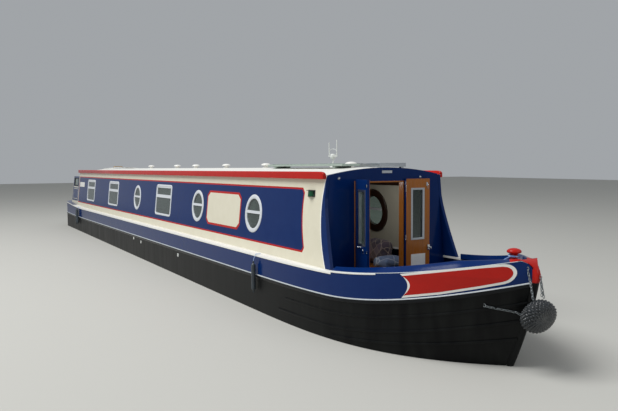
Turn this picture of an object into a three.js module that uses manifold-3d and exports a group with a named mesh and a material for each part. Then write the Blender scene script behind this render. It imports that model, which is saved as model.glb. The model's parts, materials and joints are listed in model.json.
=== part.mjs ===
// A 57 ft steel canal narrowboat with a semi-traditional stern, built from its real plates, doors and
// fittings. Millimetres, +X towards the bow, +Y to port, +Z up. Inside the builder functions X counts from
// the face of the front cabin bulkhead and Z from the underside of the baseplate.
import * as THREE from 'three';
import { mergeVertices } from 'three/addons/utils/BufferGeometryUtils.js';
import Module from 'manifold-3d';

const wasm = await Module();
wasm.setup();

// Driving dimensions
const GAP = 0.3; // between pieces that touch
const GUNWALE = 1200; // top of the gunwale above the baseplate's underside
const HALF_BEAM = 1041.5; // hull side at the gunwale
const HULL_WALL = 40; // steel, frames and lining
const CABIN_WALL = 40;
const BASE_THICK = 12;
const EDGE = 26; // depth of the gunwale's edge and of the deck plates
const LIP = 4; // the gunwale stands this far outside the hull side
const GUARD_TOP = -250; // rubbing strake, over the gunwale amidships
const GUARD_RISE = 92; // how fast it rises at the bow, for each metre squared
const GUARD_TALL = 50;
const GUARD_THICK = 12;

const CABIN_AFT = -13420; // aft end of the cabin sides
const ROOF_AFT = -12350; // aft end of the roof, at the companionway bulkhead
const CABIN_FOOT = 922; // half breadth of the cabin at the gunwale
const LEAN = 0.1007; // the cabin sides lean in by this much for each millimetre of height
const EAVES = 999; // height of the roof's edge above the gunwale
const CAMBER = 88; // rise of the roof's middle above its edges
const ROOF_THICK = 40;
const BULKHEAD = 36;

const BOW_START = -2220; // where the hull sides begin to draw in towards the stem
const BOW_POWER = 4.9; // straight at first, then sharply in: the sides meet at the stem at an angle
const CANT_START = 300; // the gunwale ends here and the bow's cant begins
const FOREDECK_AFT = 1150;
const WELL_FLOOR = GUNWALE - 500;
const FLOOR_TOP = 95; // the cabin's floor
const FLOOR_THICK = 35;

const COUNTER_START = -14300; // the stern begins to round
const STERN_TIP = -15210;
const UXTER = 490; // underside of the plate over the propeller
const PLATE = 10;
const SWIM_START = -11600; // the underwater hull begins to taper here
const STERN_POST = -13950;
const RUDDER_X = -14870;

const MIDDLE = -6480; // the frame's origin is under the middle of the overall length

const PAINT = {
  navy: { color: 0x14235c, roughness: 0.2, metalness: 0.0 },
  black: { color: 0x17181a, roughness: 0.5, metalness: 0.0 },
  cream: { color: 0xe4dcc6, roughness: 0.25, metalness: 0.0 },
  white: { color: 0xf0efe9, roughness: 0.35, metalness: 0.0 },
  red: { color: 0xc42026, roughness: 0.3, metalness: 0.0 },
  oak: { color: 0xa5672c, roughness: 0.4, metalness: 0.0 },
  lining: { color: 0xb9b39f, roughness: 0.7, metalness: 0.0 },
  rubber: { color: 0x101112, roughness: 0.6, metalness: 0.0 },
  glass: { color: 0x44525a, roughness: 0.05, metalness: 0.0 },
  brass: { color: 0xb08a3c, roughness: 0.3, metalness: 1.0 },
  silver: { color: 0xc9ccd0, roughness: 0.3, metalness: 1.0 },
  rope: { color: 0x3e5e9c, roughness: 0.9, metalness: 0.0 },
  fabric: { color: 0x6d6478, roughness: 0.9, metalness: 0.0 },
};

const boat = new THREE.Group();

function addPart(name, geometry, paint) {
  const mesh = new THREE.Mesh(geometry, new THREE.MeshStandardMaterial(paint));
  mesh.name = name;
  boat.add(mesh);
  return mesh;
}

// Solids: joining and cutting of closed meshes
function toSolid(geometry) {
  const bare = geometry.clone();
  bare.deleteAttribute('normal');
  bare.deleteAttribute('uv');
  const merged = mergeVertices(bare, 1e-3);
  const vertProperties = new Float32Array(merged.attributes.position.array);
  const triVerts = new Uint32Array(merged.index.array);
  return new wasm.Manifold(new wasm.Mesh({ numProp: 3, vertProperties, triVerts }));
}

function fromSolid(solid) {
  const mesh = solid.getMesh();
  const geometry = new THREE.BufferGeometry();
  geometry.setAttribute('position', new THREE.BufferAttribute(Float32Array.from(mesh.vertProperties), 3));
  geometry.setIndex(Array.from(mesh.triVerts));
  return geometry;
}

function join(...geometries) {
  return fromSolid(geometries.map(toSolid).reduce((whole, piece) => whole.add(piece)));
}

function cut(geometry, ...tools) {
  return fromSolid(tools.map(toSolid).reduce((whole, tool) => whole.subtract(tool), toSolid(geometry)));
}

// Shapes: a flat outline carried along one axis
function outline(points, holes = []) {
  const shape = new THREE.Shape(points.map(([u, v]) => new THREE.Vector2(u, v)));
  shape.holes = holes.map((hole) => new THREE.Path(hole.map(([u, v]) => new THREE.Vector2(u, v))));
  return shape;
}

function extrude(shape, depth) {
  return new THREE.ExtrudeGeometry(shape, { depth, bevelEnabled: false, curveSegments: 12 });
}

function carried(shape, depth, right, up, along, start) {
  const basis = new THREE.Matrix4().makeBasis(right, up, along);
  return extrude(shape, depth).applyMatrix4(basis.setPosition(start));
}

const AX = new THREE.Vector3(1, 0, 0);
const AY = new THREE.Vector3(0, 1, 0);
const AZ = new THREE.Vector3(0, 0, 1);

// outline in (y, z), from x0 to x1
function alongX(shape, x0, x1) {
  return carried(shape, x1 - x0, AY, AZ, AX, new THREE.Vector3(x0, 0, 0));
}

// outline in (x, z), from y0 to y1
function alongY(shape, y0, y1) {
  return carried(shape, y1 - y0, AX, AZ, AY.clone().negate(), new THREE.Vector3(0, y1, 0));
}

// outline in (x, y), from z0 to z1
function alongZ(shape, z0, z1) {
  return carried(shape, z1 - z0, AX, AY, AZ, new THREE.Vector3(0, 0, z0));
}

function box(x0, x1, y0, y1, z0, z1) {
  const geometry = new THREE.BoxGeometry(x1 - x0, y1 - y0, z1 - z0);
  return geometry.translate((x0 + x1) / 2, (y0 + y1) / 2, (z0 + z1) / 2);
}

// a cylinder about the given axis, from one end point to the other
function rod(from, to, radius, sides = 16) {
  const a = new THREE.Vector3(...from);
  const b = new THREE.Vector3(...to);
  const geometry = new THREE.CylinderGeometry(radius, radius, a.distanceTo(b), sides);
  const turn = new THREE.Quaternion().setFromUnitVectors(AY, b.clone().sub(a).normalize());
  return geometry.applyQuaternion(turn).translate(...a.add(b).multiplyScalar(0.5).toArray());
}

// a profile of [radius, height] pairs turned about the upright line through (x, y)
function turned(profile, x, y, z, sides = 20) {
  const lathe = new THREE.LatheGeometry(profile.map(([r, h]) => new THREE.Vector2(r, h)), sides);
  return lathe.rotateX(Math.PI / 2).translate(x, y, z);
}

function closeMesh(points, faces) {
  const geometry = new THREE.BufferGeometry();
  geometry.setAttribute('position', new THREE.Float32BufferAttribute(points.flat(), 3));
  const [a, b, c] = [new THREE.Vector3(), new THREE.Vector3(), new THREE.Vector3()];
  let volume = 0;
  for (const [i, j, k] of faces) {
    a.fromArray(points[i]);
    b.fromArray(points[j]);
    c.fromArray(points[k]);
    volume += a.dot(b.cross(c));
  }
  const outward = volume > 0 ? faces : faces.map(([i, j, k]) => [i, k, j]);
  geometry.setIndex(outward.flat());
  return geometry;
}

// a skin over a row of closed loops with equal numbers of points, shut by a flat face at both ends
function loft(loops) {
  const count = loops[0].length;
  const points = loops.flat();
  const faces = [];
  for (let row = 0; row < loops.length - 1; row += 1) {
    for (let i = 0; i < count; i += 1) {
      const here = row * count + i;
      const next = row * count + ((i + 1) % count);
      faces.push([here, next, next + count], [here, next + count, here + count]);
    }
  }
  const last = (loops.length - 1) * count;
  const section = capOutline(loops[0]);
  for (const [i, j, k] of THREE.ShapeUtils.triangulateShape(section, [])) {
    faces.push([k, j, i]);
  }
  for (const [i, j, k] of THREE.ShapeUtils.triangulateShape(capOutline(loops[loops.length - 1]), [])) {
    faces.push([last + i, last + j, last + k]);
  }
  return closeMesh(points, faces);
}

// the loop drawn flat, across its own mean direction
function capOutline(loop) {
  const [normal, centre] = loopFrame(loop);
  const right = new THREE.Vector3().crossVectors(AZ, normal);
  if (right.lengthSq() < 1e-6) right.set(1, 0, 0);
  right.normalize();
  const up = new THREE.Vector3().crossVectors(normal, right);
  return loop.map((point) => {
    const offset = new THREE.Vector3(...point).sub(centre);
    return new THREE.Vector2(offset.dot(right), offset.dot(up));
  });
}

function loopFrame(loop) {
  const normal = new THREE.Vector3();
  const centre = new THREE.Vector3();
  loop.forEach((point, i) => {
    const here = new THREE.Vector3(...point);
    const next = new THREE.Vector3(...loop[(i + 1) % loop.length]);
    centre.add(here);
    normal.add(here.clone().cross(next));
  });
  centre.divideScalar(loop.length);
  return [normal.normalize(), centre];
}

function mirrored(geometry) {
  const copy = geometry.clone().scale(1, -1, 1);
  const index = copy.index ? Array.from(copy.index.array) : null;
  if (index) {
    for (let i = 0; i < index.length; i += 3) [index[i], index[i + 1]] = [index[i + 1], index[i]];
    copy.setIndex(index);
    return copy;
  }
  const merged = mergeVertices(copy.deleteAttribute('normal').deleteAttribute('uv'), 1e-3);
  return mirrored(merged.scale(1, -1, 1));
}

// Hull form. h is the height over the gunwale, negative below it.
function stemX(h) {
  const low = Math.min(h, 100);
  return 2117.5 + 0.2271 * low - 0.0001564 * low * low;
}

function sideBreadth(h) {
  const chine = -600;
  const tuck = 45;
  return h > chine ? HALF_BEAM : HALF_BEAM - (tuck * (chine - h)) / (GUNWALE + chine);
}

// a point on the hull side: bend is 0 at BOW_START and 90 degrees at the stem, inset is measured square to
// the curve; the breadth falls with a power of the distance from BOW_START, and is the bend's cosine squared
function bowPoint(bend, h, inset) {
  const place = (angle) => {
    const along = Math.sin(angle) ** (2 / BOW_POWER);
    return [BOW_START + along * (stemX(h) - BOW_START), sideBreadth(h) * Math.cos(angle) ** 2];
  };
  const step = 0.002;
  const [x, y] = place(bend);
  const [xa, ya] = place(Math.max(bend - step, 0));
  const [xb, yb] = place(Math.min(bend + step, Math.PI / 2 - 1e-6));
  const length = Math.hypot(xb - xa, yb - ya);
  return [x + (inset * (yb - ya)) / length, y - (inset * (xb - xa)) / length];
}

function bendAt(x, h) {
  const along = Math.max(0, (x - BOW_START) / (stemX(h) - BOW_START));
  return Math.asin(Math.min(1, along ** (BOW_POWER / 2)));
}

function sheer(x) {
  const metres = Math.max(x, 0) / 1000;
  return 10 * metres + 58 * metres * metres;
}

// the gunwale also rises a little towards the stern
const LIFT_START = -12000;
const LIFT_FULL = 2300; // over this length
const LIFT = 90;

function sternLift(x) {
  const along = Math.max(0, LIFT_START - x) / LIFT_FULL;
  return along < 1 ? LIFT * along ** 2 : LIFT + 0.03 * LIFT_FULL * (along - 1);
}

const STERN_STATIONS = [COUNTER_START, -14000, -13700, CABIN_AFT, -13100, -12800, -12500, -12200, LIFT_START];

const degrees = (angle) => (angle * Math.PI) / 180;
const LAST_BEND = degrees(79.5); // the sides end here, at the stem bar
const NOSE_BEND = degrees(75.6); // the decks' edges end here, where their inner sides meet

function bendRow(first, last, count) {
  return Array.from({ length: count + 1 }, (_, i) => first + ((last - first) * i) / count);
}

const CHANGE = bendAt(CANT_START, 0);
const BOW_BENDS = [...bendRow(degrees(4), CHANGE, 3), ...bendRow(CHANGE + 0.002, NOSE_BEND, 14), LAST_BEND];

// the top of the side follows the sheer and rounds down at the stem
const NOSE = [[2045, 260], [2069, 250], [2089, 236], [2105, 208], [2132, 130]];

function bowTop(bend) {
  const [x] = bowPoint(bend, 100, 0);
  const line = sheer(bowPoint(bend, 0, 0)[0]);
  for (let i = 0; i < NOSE.length - 1; i += 1) {
    const [[xa, ha], [xb, hb]] = [NOSE[i], NOSE[i + 1]];
    if (x >= xa && x <= xb) return GUNWALE + Math.min(line, ha + ((hb - ha) * (x - xa)) / (xb - xa));
  }
  return GUNWALE + line;
}

function buildHullSides() {
  const levels = (top, bottom) => [bottom, Math.max(bottom + 1, 600), GUNWALE + GUARD_TOP, top];
  const section = (place, top, bottom) => {
    const outer = levels(top, bottom).map((z) => [...place(z, 0), z]);
    const inner = levels(top, bottom).reverse().map((z) => [...place(z, HULL_WALL), z]);
    return [...outer, ...inner];
  };
  const straight = (x) => (z, inset) => [x, sideBreadth(z - GUNWALE) - inset];
  const top = (x) => GUNWALE + sternLift(x) - (x < CABIN_AFT ? EDGE + GAP : EDGE / 2);
  const low = BASE_THICK + GAP;
  const high = UXTER + PLATE + GAP;
  const step = 0.5;
  const stations = STERN_STATIONS.flatMap((x) => (x === CABIN_AFT ? [x - step, x + step] : [x]));
  const sections = [
    ...stations.map((x) => section(straight(x), top(x), high)),
    section(straight(SWIM_START - step), top(0), high),
    section(straight(SWIM_START + step), top(0), low),
    section(straight(-6000), top(0), low),
    section(straight(BOW_START), top(0), low),
    ...BOW_BENDS.map((bend) => (
      section((z, inset) => bowPoint(bend, z - GUNWALE, inset), bend > CHANGE ? bowTop(bend) : top(0), low))),
  ];
  const wall = loft(sections);

  // the gunwale: a flat edge round the cabin's foot
  const inner = CABIN_FOOT - CABIN_WALL;
  const end = bowPoint(CHANGE, 0, 60);
  const rim = bendRow(0, CHANGE, 5).map((bend) => bowPoint(bend, 0, -LIP));
  const strip = [
    ...STERN_STATIONS.filter((x) => x >= CABIN_AFT).map((x) => [[x, HALF_BEAM + LIP], [x, inner]]),
    ...rim.slice(0, -1).map(([x, y]) => [[x, y], [x, inner]]),
    [rim[rim.length - 1], [end[0] - 20, inner]],
  ];
  const gunwale = loft(strip.map(([[xo, yo], [xi, yi]]) => {
    const z = GUNWALE + sternLift(xo);
    return [[xo, yo, z - EDGE], [xo, yo, z], [xi, yi, z], [xi, yi, z - EDGE]];
  }));
  const port = join(wall, gunwale);
  addPart('hull_side_port', port, PAINT.navy);
  addPart('hull_side_starboard', mirrored(port), PAINT.navy);
}

// the stem bar fills the slot between the two sides and laps over their tops at the nose;
// columns: height, front, and back where it laps over
const STEM_STEPS = [
  [BASE_THICK + GAP - GUNWALE], [-1000], [-800], [-600], [-400], [-200], [-60], [40], [72, 2146], [97, 2162],
  [135, 2163], [184, 2148], [201, 2136, 2112], [210, 2128, 2107], [222, 2116, 2100], [238, 2098, 2089],
  [252, 2078, 2067], [265, 2049, 2043], [265.5, 2048, 2022], [270, 2034, 2024],
];
const STEM_PROUD = 12;
const STEM_NOSE_HALF = 22; // half the breadth of the bar's front

// half the breadth over the two sides at a place ahead of BOW_START
function bowBreadth(x, h) {
  const along = (x - BOW_START) / (stemX(h) - BOW_START);
  return sideBreadth(h) * (1 - along ** BOW_POWER);
}

function buildStem() {
  const loops = STEM_STEPS.map(([h, front = stemX(h) + STEM_PROUD, lap]) => {
    const [outerX, outerY] = bowPoint(LAST_BEND, h, 0);
    const [innerX, innerY] = bowPoint(LAST_BEND, h, HULL_WALL);
    const wide = (lap ? bowBreadth(lap, h) : outerY) - 1;
    const narrow = innerY / 2;
    const root = lap ? [[lap, wide - 4], [lap + 2, wide - 1]] : [[innerX, narrow], [outerX, wide]];
    const half = [...root, [front, STEM_NOSE_HALF]];
    return [...half, ...[...half].reverse().map(([x, y]) => [x, -y])].map(([x, y]) => [x, y, GUNWALE + h]);
  });
  addPart('stem_post', loft(loops), PAINT.red);
}

// half the plan of the tapering hull ahead of the propeller; the breadth falls with a power of the way aft,
// and draw says how much further forward the tip of an inset plan lies
const SWIM = { fore: 1005, tip: 15, power: 1.7, draw: 2.2 };

function swimPoints(inset) {
  const aft = STERN_POST + inset * SWIM.draw;
  return bendRow(0, 1, 8).map((s) => [SWIM_START - 1 + (aft - SWIM_START) * s,
    SWIM.tip + (SWIM.fore - inset - SWIM.tip) * (1 - s ** SWIM.power)]);
}

function buildBottom() {
  const lip = 10;
  const bow = bendRow(degrees(6), LAST_BEND, 14).map((bend) => bowPoint(bend, -GUNWALE, -lip));
  const side = [[BOW_START, sideBreadth(-GUNWALE) + lip], ...bow];
  const swim = swimPoints(0).map(([x, y]) => [x, y + lip]);
  const skegHalf = 30;
  const half = [[RUDDER_X - 70, skegHalf], [STERN_POST, skegHalf], ...swim.reverse().slice(1), ...side];
  const other = [...half].reverse().map(([x, y]) => [x, -y]);
  addPart('baseplate', alongZ(outline([...half, ...other]), 0, BASE_THICK), PAINT.black);

  const wall = 30;
  const outer = swimPoints(0);
  const inner = swimPoints(wall);
  const vee = [...outer, ...[...outer].reverse().map(([x, y]) => [x, -y]),
    ...inner.map(([x, y]) => [x, -y]), ...[...inner].reverse()];
  addPart('swim', alongZ(outline(vee), BASE_THICK + GAP, UXTER - GAP), PAINT.black);
}

const COUNTER_STEPS = 24;

function counterArc(inset, count = COUNTER_STEPS) {
  const length = COUNTER_START - STERN_TIP - inset;
  return bendRow(0, Math.PI, count).map((angle) => [
    COUNTER_START - length * Math.sin(angle), (HALF_BEAM - inset) * Math.cos(angle),
  ]);
}

function buildStern() {
  const [outside, inside] = [counterArc(0), counterArc(HULL_WALL)];
  const low = UXTER + PLATE + GAP;
  const top = (x) => GUNWALE + sternLift(x) - EDGE - GAP;
  const side = outside.map(([x, y], i) => {
    const [u, v] = inside[i];
    return [[x, y, low], [x, y, top(x)], [u, v, top(u)], [u, v, low]];
  });
  addPart('counter_side', loft(side).translate(-GAP, 0, 0), PAINT.black);

  const swim = swimPoints(0);
  const hoof = [[SWIM_START - 1, HALF_BEAM], ...counterArc(0), [SWIM_START - 1, -HALF_BEAM],
    ...swim.map(([x, y]) => [x, -y]), ...[...swim].reverse()];
  const stockWay = rod([RUDDER_X, 0, UXTER - 20], [RUDDER_X, 0, UXTER + 40], 24);
  addPart('uxter_plate', cut(alongZ(outline(hoof), UXTER, UXTER + PLATE), stockWay), PAINT.black);

  // the deck is as wide as the well between the cabin sides, then as the counter
  const narrow = CABIN_FOOT - CABIN_WALL - GAP;
  const wide = HALF_BEAM + LIP;
  const aft = CABIN_AFT - 1;
  const straight = STERN_STATIONS.filter((x) => x < CABIN_AFT && x > COUNTER_START).map((x) => [x, wide]);
  const well = STERN_STATIONS.filter((x) => x > CABIN_AFT && x < ROOF_AFT).map((x) => [x, narrow]);
  const arc = counterArc(-LIP).slice(0, COUNTER_STEPS / 2);
  const stations = [...arc.reverse(), ...straight, [aft, wide], [aft + 0.5, narrow], ...well,
    [ROOF_AFT - 1, narrow]];
  const deck = loft(stations.map(([x, y]) => {
    const z = GUNWALE + sternLift(x);
    return [[x, y, z - EDGE], [x, y, z], [x, -y, z], [x, -y, z - EDGE]];
  }));
  const stockHole = rod([RUDDER_X, 0, GUNWALE - 60], [RUDDER_X, 0, GUNWALE + 200], 38);
  addPart('aft_deck', cut(deck, stockHole), PAINT.navy);

  const tube = [circle(RUDDER_X, 0, 36), circle(RUDDER_X, 0, 24)];
  const tubeTop = GUNWALE + sternLift(RUDDER_X) + 70;
  addPart('rudder_tube', alongZ(outline(tube[0], [tube[1]]), UXTER + PLATE + GAP, tubeTop), PAINT.black);
}

function circle(u, v, radius, count = 20) {
  return bendRow(0, 2 * Math.PI, count).slice(0, count)
    .map((angle) => [u + radius * Math.cos(angle), v + radius * Math.sin(angle)]);
}

// the raised strip along the deck's edge
const CANT_WIDE = 86;
const CANT_EDGE = 6; // its least height
const CANT_RISE = 28; // what its inner side rises above that, with this much more for each millimetre forward
const CANT_GROWTH = 0.02;
const CANT_FADE = 2060; // it comes down to its least height here
const CANT_FADE_LONG = 450;

function buildBowDecks() {
  const strip = (bend) => {
    const [x] = bowPoint(bend, 0, 0);
    const top = bowTop(bend);
    const fade = Math.min(1, Math.max(0, (CANT_FADE - x) / CANT_FADE_LONG));
    const rise = top + CANT_EDGE + (CANT_RISE + CANT_GROWTH * x) * fade;
    const at = (inset, z) => [...bowPoint(bend, top - GUNWALE, inset), z];
    return [at(2, top + 1.5), at(70, rise), at(CANT_WIDE, rise), at(CANT_WIDE, top - 20), at(50, top - 20),
      at(50, top + 1.5)];
  };
  const port = loft(BOW_BENDS.filter((bend) => bend > CHANGE && bend <= NOSE_BEND).map(strip));
  addPart('cant_port', port, PAINT.navy);
  addPart('cant_starboard', mirrored(port), PAINT.navy);

  const plates = BOW_BENDS.filter((bend) => bend <= NOSE_BEND && bowPoint(bend, 0, 0)[0] > FOREDECK_AFT);
  const surface = plates.map((bend) => {
    const [x, y] = bowPoint(bend, bowTop(bend) - GUNWALE, CANT_WIDE + 2);
    const top = Math.min(GUNWALE + sheer(x), bowTop(bend) + 4);
    return [[x, y, top], [x, -y, top], [x, -y, top - PLATE], [x, y, top - PLATE]];
  });
  addPart('foredeck', loft(surface), PAINT.navy);

  const well = BOW_BENDS.filter((bend) => {
    const [x] = bowPoint(bend, -500, HULL_WALL);
    return x > 60 && x < FOREDECK_AFT + 60;
  });
  const edge = well.map((bend) => bowPoint(bend, -500, HULL_WALL + 4));
  edge[0][0] = 1;
  const floor = [...edge, ...[...edge].reverse().map(([x, y]) => [x, -y])];
  addPart('well_deck', alongZ(outline(floor.reverse()), WELL_FLOOR - PLATE, WELL_FLOOR), PAINT.navy);

  const [lockerX] = surface[0][0];
  const [, lockerTop] = bowPoint(bendAt(lockerX, 0), 0, CANT_WIDE + 12);
  const [, lockerFoot] = bowPoint(bendAt(lockerX, -500), -500, HULL_WALL + 16);
  const top = GUNWALE + sheer(lockerX) - PLATE - 4;
  const foot = WELL_FLOOR + GAP;
  const face = [[-lockerFoot, foot], [lockerFoot, foot], [lockerTop, top], [-lockerTop, top]];
  addPart('locker_bulkhead', alongX(outline(face), lockerX - BULKHEAD, lockerX), PAINT.navy);
}

// Cabin
function cabinY(h) {
  return CABIN_FOOT - LEAN * h;
}

// an opening through the cabin side is drawn upright and reaches through the leaning wall
const SIDE_WINDOWS = [
  // name, x of its middle on the starboard and port sides, kind
  { name: 'porthole_fore', starboard: -1737, port: -1350, round: true },
  { name: 'porthole_mid', starboard: -3786, port: -3786, round: true },
  { name: 'window_fore', starboard: -5546, port: -5546, round: false },
  { name: 'porthole_aft', starboard: -7268, port: -7268, round: true },
  { name: 'window_mid', starboard: -9291, port: -9291, round: false },
  { name: 'window_aft', starboard: -11720, port: -11720, round: false },
];
const PORTHOLE_RADIUS = 205;
const PORTHOLE_HEIGHT = 485;
const WINDOW_LONG = 840;
const WINDOW_LOW = 245;
const WINDOW_HIGH = 758;
const WINDOW_CORNER = 40;

function windowOutline(x, round, inset) {
  if (round) return outline(circle(x, GUNWALE + PORTHOLE_HEIGHT, PORTHOLE_RADIUS - inset, 28));
  const half = WINDOW_LONG / 2 - inset;
  const [low, high] = [GUNWALE + WINDOW_LOW + inset, GUNWALE + WINDOW_HIGH - inset];
  const corner = WINDOW_CORNER - inset;
  const arcs = [[half, high, 0], [-half, high, 90], [-half, low, 180], [half, low, 270]];
  const quarter = (start) => bendRow(degrees(start), degrees(start + 90), 4);
  const points = arcs.flatMap(([dx, z, start]) => quarter(start).map((angle) => [
    x + dx - Math.sign(dx) * corner + corner * Math.cos(angle),
    z - Math.sign(z - (low + high) / 2) * corner + corner * Math.sin(angle),
  ]));
  return outline(points);
}

// a slab in the leaning plane of the port cabin side, from the outer face inward
function sideSlab(shape, outer, thick) {
  const geometry = extrude(shape, thick);
  const position = geometry.attributes.position;
  for (let i = 0; i < position.count; i += 1) {
    const [x, z, depth] = [position.getX(i), position.getY(i), position.getZ(i)];
    position.setXYZ(i, x, cabinY(z - GUNWALE) + outer - depth, z);
  }
  return geometry;
}

const COAMING_AFT = -14280;
const COAMING_TOP = 140;

function sideProfile() {
  const foot = GUNWALE + GAP;
  const top = GUNWALE + EAVES;
  const sweep = bendRow(0, 1, 7).map((s) => [225 * (1 - s) ** 1.3, foot + 750 * s]);
  const aft = STERN_STATIONS.filter((x) => x > COAMING_AFT).map((x) => [x, foot + sternLift(x)]);
  const coaming = [[CABIN_AFT, GUNWALE + COAMING_TOP], [COAMING_AFT + 30, GUNWALE + COAMING_TOP],
    [COAMING_AFT, GUNWALE + COAMING_TOP - 20], [COAMING_AFT, foot + sternLift(COAMING_AFT)]];
  return outline([...aft, ...sweep, [0, top], [CABIN_AFT, top], ...coaming]);
}

function buildCabinSides() {
  for (const side of ['port', 'starboard']) {
    const hole = (item) => sideSlab(windowOutline(item[side], item.round, 0), 20, CABIN_WALL + 40);
    const holes = SIDE_WINDOWS.map(hole);
    const wall = cut(sideSlab(sideProfile(), 0, CABIN_WALL), ...holes);
    addPart(`cabin_side_${side}`, side === 'port' ? wall : mirrored(wall), PAINT.cream);
    for (const item of SIDE_WINDOWS) {
      const pane = sideSlab(windowOutline(item[side], item.round, 0.4), -8, 24);
      addPart(`${item.name}_${side}`, side === 'port' ? pane : mirrored(pane), PAINT.glass);
    }
  }
}

// the roof's arch: half its width, its crown and its underside
function archPoints(halfWidth, edge, rise, count) {
  return bendRow(-1, 1, count).map((s) => [s * halfWidth, edge + rise * (1 - s * s)]);
}

// a bulkhead that fills the hull below the gunwale and the cabin above it; foot lists [half breadth, z] pairs,
// and drop is how far its arched top lies under the roof's outer surface
function bulkhead(x, foot, drop) {
  const neck = CABIN_FOOT - CABIN_WALL - 2;
  const widest = cabinY(EAVES) - CABIN_WALL - 4;
  const arch = bendRow(-1, 1, 14).map((s) => [s * widest, roofHeight(s * widest) - drop]);
  const under = GUNWALE - EDGE - 1;
  const half = [...foot, [foot[foot.length - 1][0], under], [neck, under], [neck, GUNWALE]];
  const other = [...half].reverse().map(([y, z]) => [-y, z]);
  return alongX(outline([...half, ...arch.reverse(), ...other]), x, x + BULKHEAD);
}

const FRONT_DOORWAY = { left: -436, right: 257, foot: GUNWALE - 430, top: GUNWALE + 931 };
const COMPANION_HALF = 340;
const REAR_FRAME = { high: 860, post: 45, sill: 110 }; // heights over the gunwale, the posts' breadth

function buildBulkheads() {
  const door = FRONT_DOORWAY;
  const front = bulkhead(-BULKHEAD, [[866, 100], [900, 600]], 1);
  const doorway = box(-BULKHEAD - 10, 10, door.left, door.right, door.foot, door.top);
  addPart('front_bulkhead', cut(front, doorway), PAINT.navy);

  const aft = bulkhead(ROOF_AFT, [[815, 100], [815, UXTER + 20], [990, UXTER + 20]], ROOF_THICK + 3);
  const [way0, way1] = [GUNWALE + 20, GUNWALE + 1200];
  const way = box(ROOF_AFT - 10, ROOF_AFT + 60, -COMPANION_HALF, COMPANION_HALF, way0, way1);
  addPart('companion_bulkhead', cut(aft, way), PAINT.navy);

  // two leaning posts and a sill, inside the aft ends of the cabin sides
  const { high, post: postWide, sill } = REAR_FRAME;
  const low = sternLift(CABIN_AFT) + 1;
  const wall = (h) => cabinY(h) - CABIN_WALL - 1;
  const post = (h) => wall(h) - postWide;
  const half = [[wall(low), low], [wall(high), high], [post(high), high], [post(sill), sill]];
  const frame = [...half, ...[...half].reverse().map(([y, h]) => [-y, h])].map(([y, h]) => [y, GUNWALE + h]);
  addPart('rear_frame', alongX(outline(frame), CABIN_AFT + 1, CABIN_AFT + 41), PAINT.navy);

  const floor = [[-12300, 835], [SWIM_START - 20, 930], [BOW_START, 930], [-60, 880]];
  const boards = [...floor, ...[...floor].reverse().map(([x, y]) => [x, -y])];
  addPart('cabin_floor', alongZ(outline(boards.reverse()), FLOOR_TOP - FLOOR_THICK, FLOOR_TOP), PAINT.oak);
}

const RAIL = { inner: 826, wide: 45, low: 963, shoulder: 1033, top: 1045, chamfer: 12 };

function buildRails() {
  const { inner, wide, low, shoulder, top, chamfer } = RAIL;
  const outer = inner + wide;
  const rail = [[inner, low], [outer, low], [outer, shoulder], [outer - chamfer, top], [inner, top]];
  const port = alongX(outline(rail.map(([y, h]) => [y, GUNWALE + h])), CABIN_AFT + 5, -8);
  addPart('handrail_port', port, PAINT.red);
  addPart('handrail_starboard', mirrored(port), PAINT.red);
}

function buildGuards() {
  const ring = (place, h) => {
    const at = (inset, z) => [...place(inset), GUNWALE + z];
    return [at(-1, h), at(-GUARD_THICK, h), at(-GUARD_THICK, h - GUARD_TALL), at(-1, h - GUARD_TALL)];
  };
  const aftTop = (x) => GUARD_TOP + 0.4 * sternLift(x);
  const round = (inset) => counterArc(inset).slice(0, COUNTER_STEPS / 2 + 1);
  const rows = round(0).map(([x], i) => ring((inset) => round(inset)[i], aftTop(x))).reverse();
  for (const point of rows[0]) point[1] = 1;
  for (const x of [-13400, -12700, LIFT_START, BOW_START]) {
    rows.push(ring((inset) => [x, HALF_BEAM - inset], aftTop(x)));
  }
  for (const bend of BOW_BENDS) {
    const [x] = bowPoint(bend, GUARD_TOP, 0);
    const h = GUARD_TOP + GUARD_RISE * (Math.max(0, x - 200) / 1000) ** 2;
    rows.push(ring((inset) => bowPoint(bend, h, inset), h));
  }
  const port = loft(rows);
  addPart('guard_port', port, PAINT.black);
  addPart('guard_starboard', mirrored(port), PAINT.black);
}

// Doors. Each is drawn shut and then turned about its hinge to where it stands.
const DOOR_THICK = 36;
const DOOR_FOOT = GUNWALE - 445;
const DOOR_TOP = GUNWALE + 955;
const HINGE_X = 23; // the front doors' pins, in front of the bulkhead
const HINGE_SLACK = 2;
const FRONT_DOORS = [
  // columns: side, y of the pin, width, which way it runs from the pin, turn from shut to rest, paint
  { side: 'port', pin: 256.5, width: 360, run: -1, rest: 180, paint: PAINT.oak },
  { side: 'starboard', pin: -436, width: 317, run: 1, rest: -103, paint: PAINT.navy },
];
const DOOR_PANE = { inset: 85, wide: 170, z0: GUNWALE + 245, z1: GUNWALE + 825 };

function hinged(geometry, x, y, angle) {
  return geometry.translate(-x, -y, 0).rotateZ(degrees(angle)).translate(x, y, 0);
}

function span(a, b) {
  return [Math.min(a, b), Math.max(a, b)];
}

const REAR_PANE = { aft: -14110, fore: -13530, low: 590, high: 800 };
const REAR_DOOR = { thick: 30, foot: 150, top: 857, inset: 32, ahead: 4, slack: 2, centre: 4 };

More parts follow.
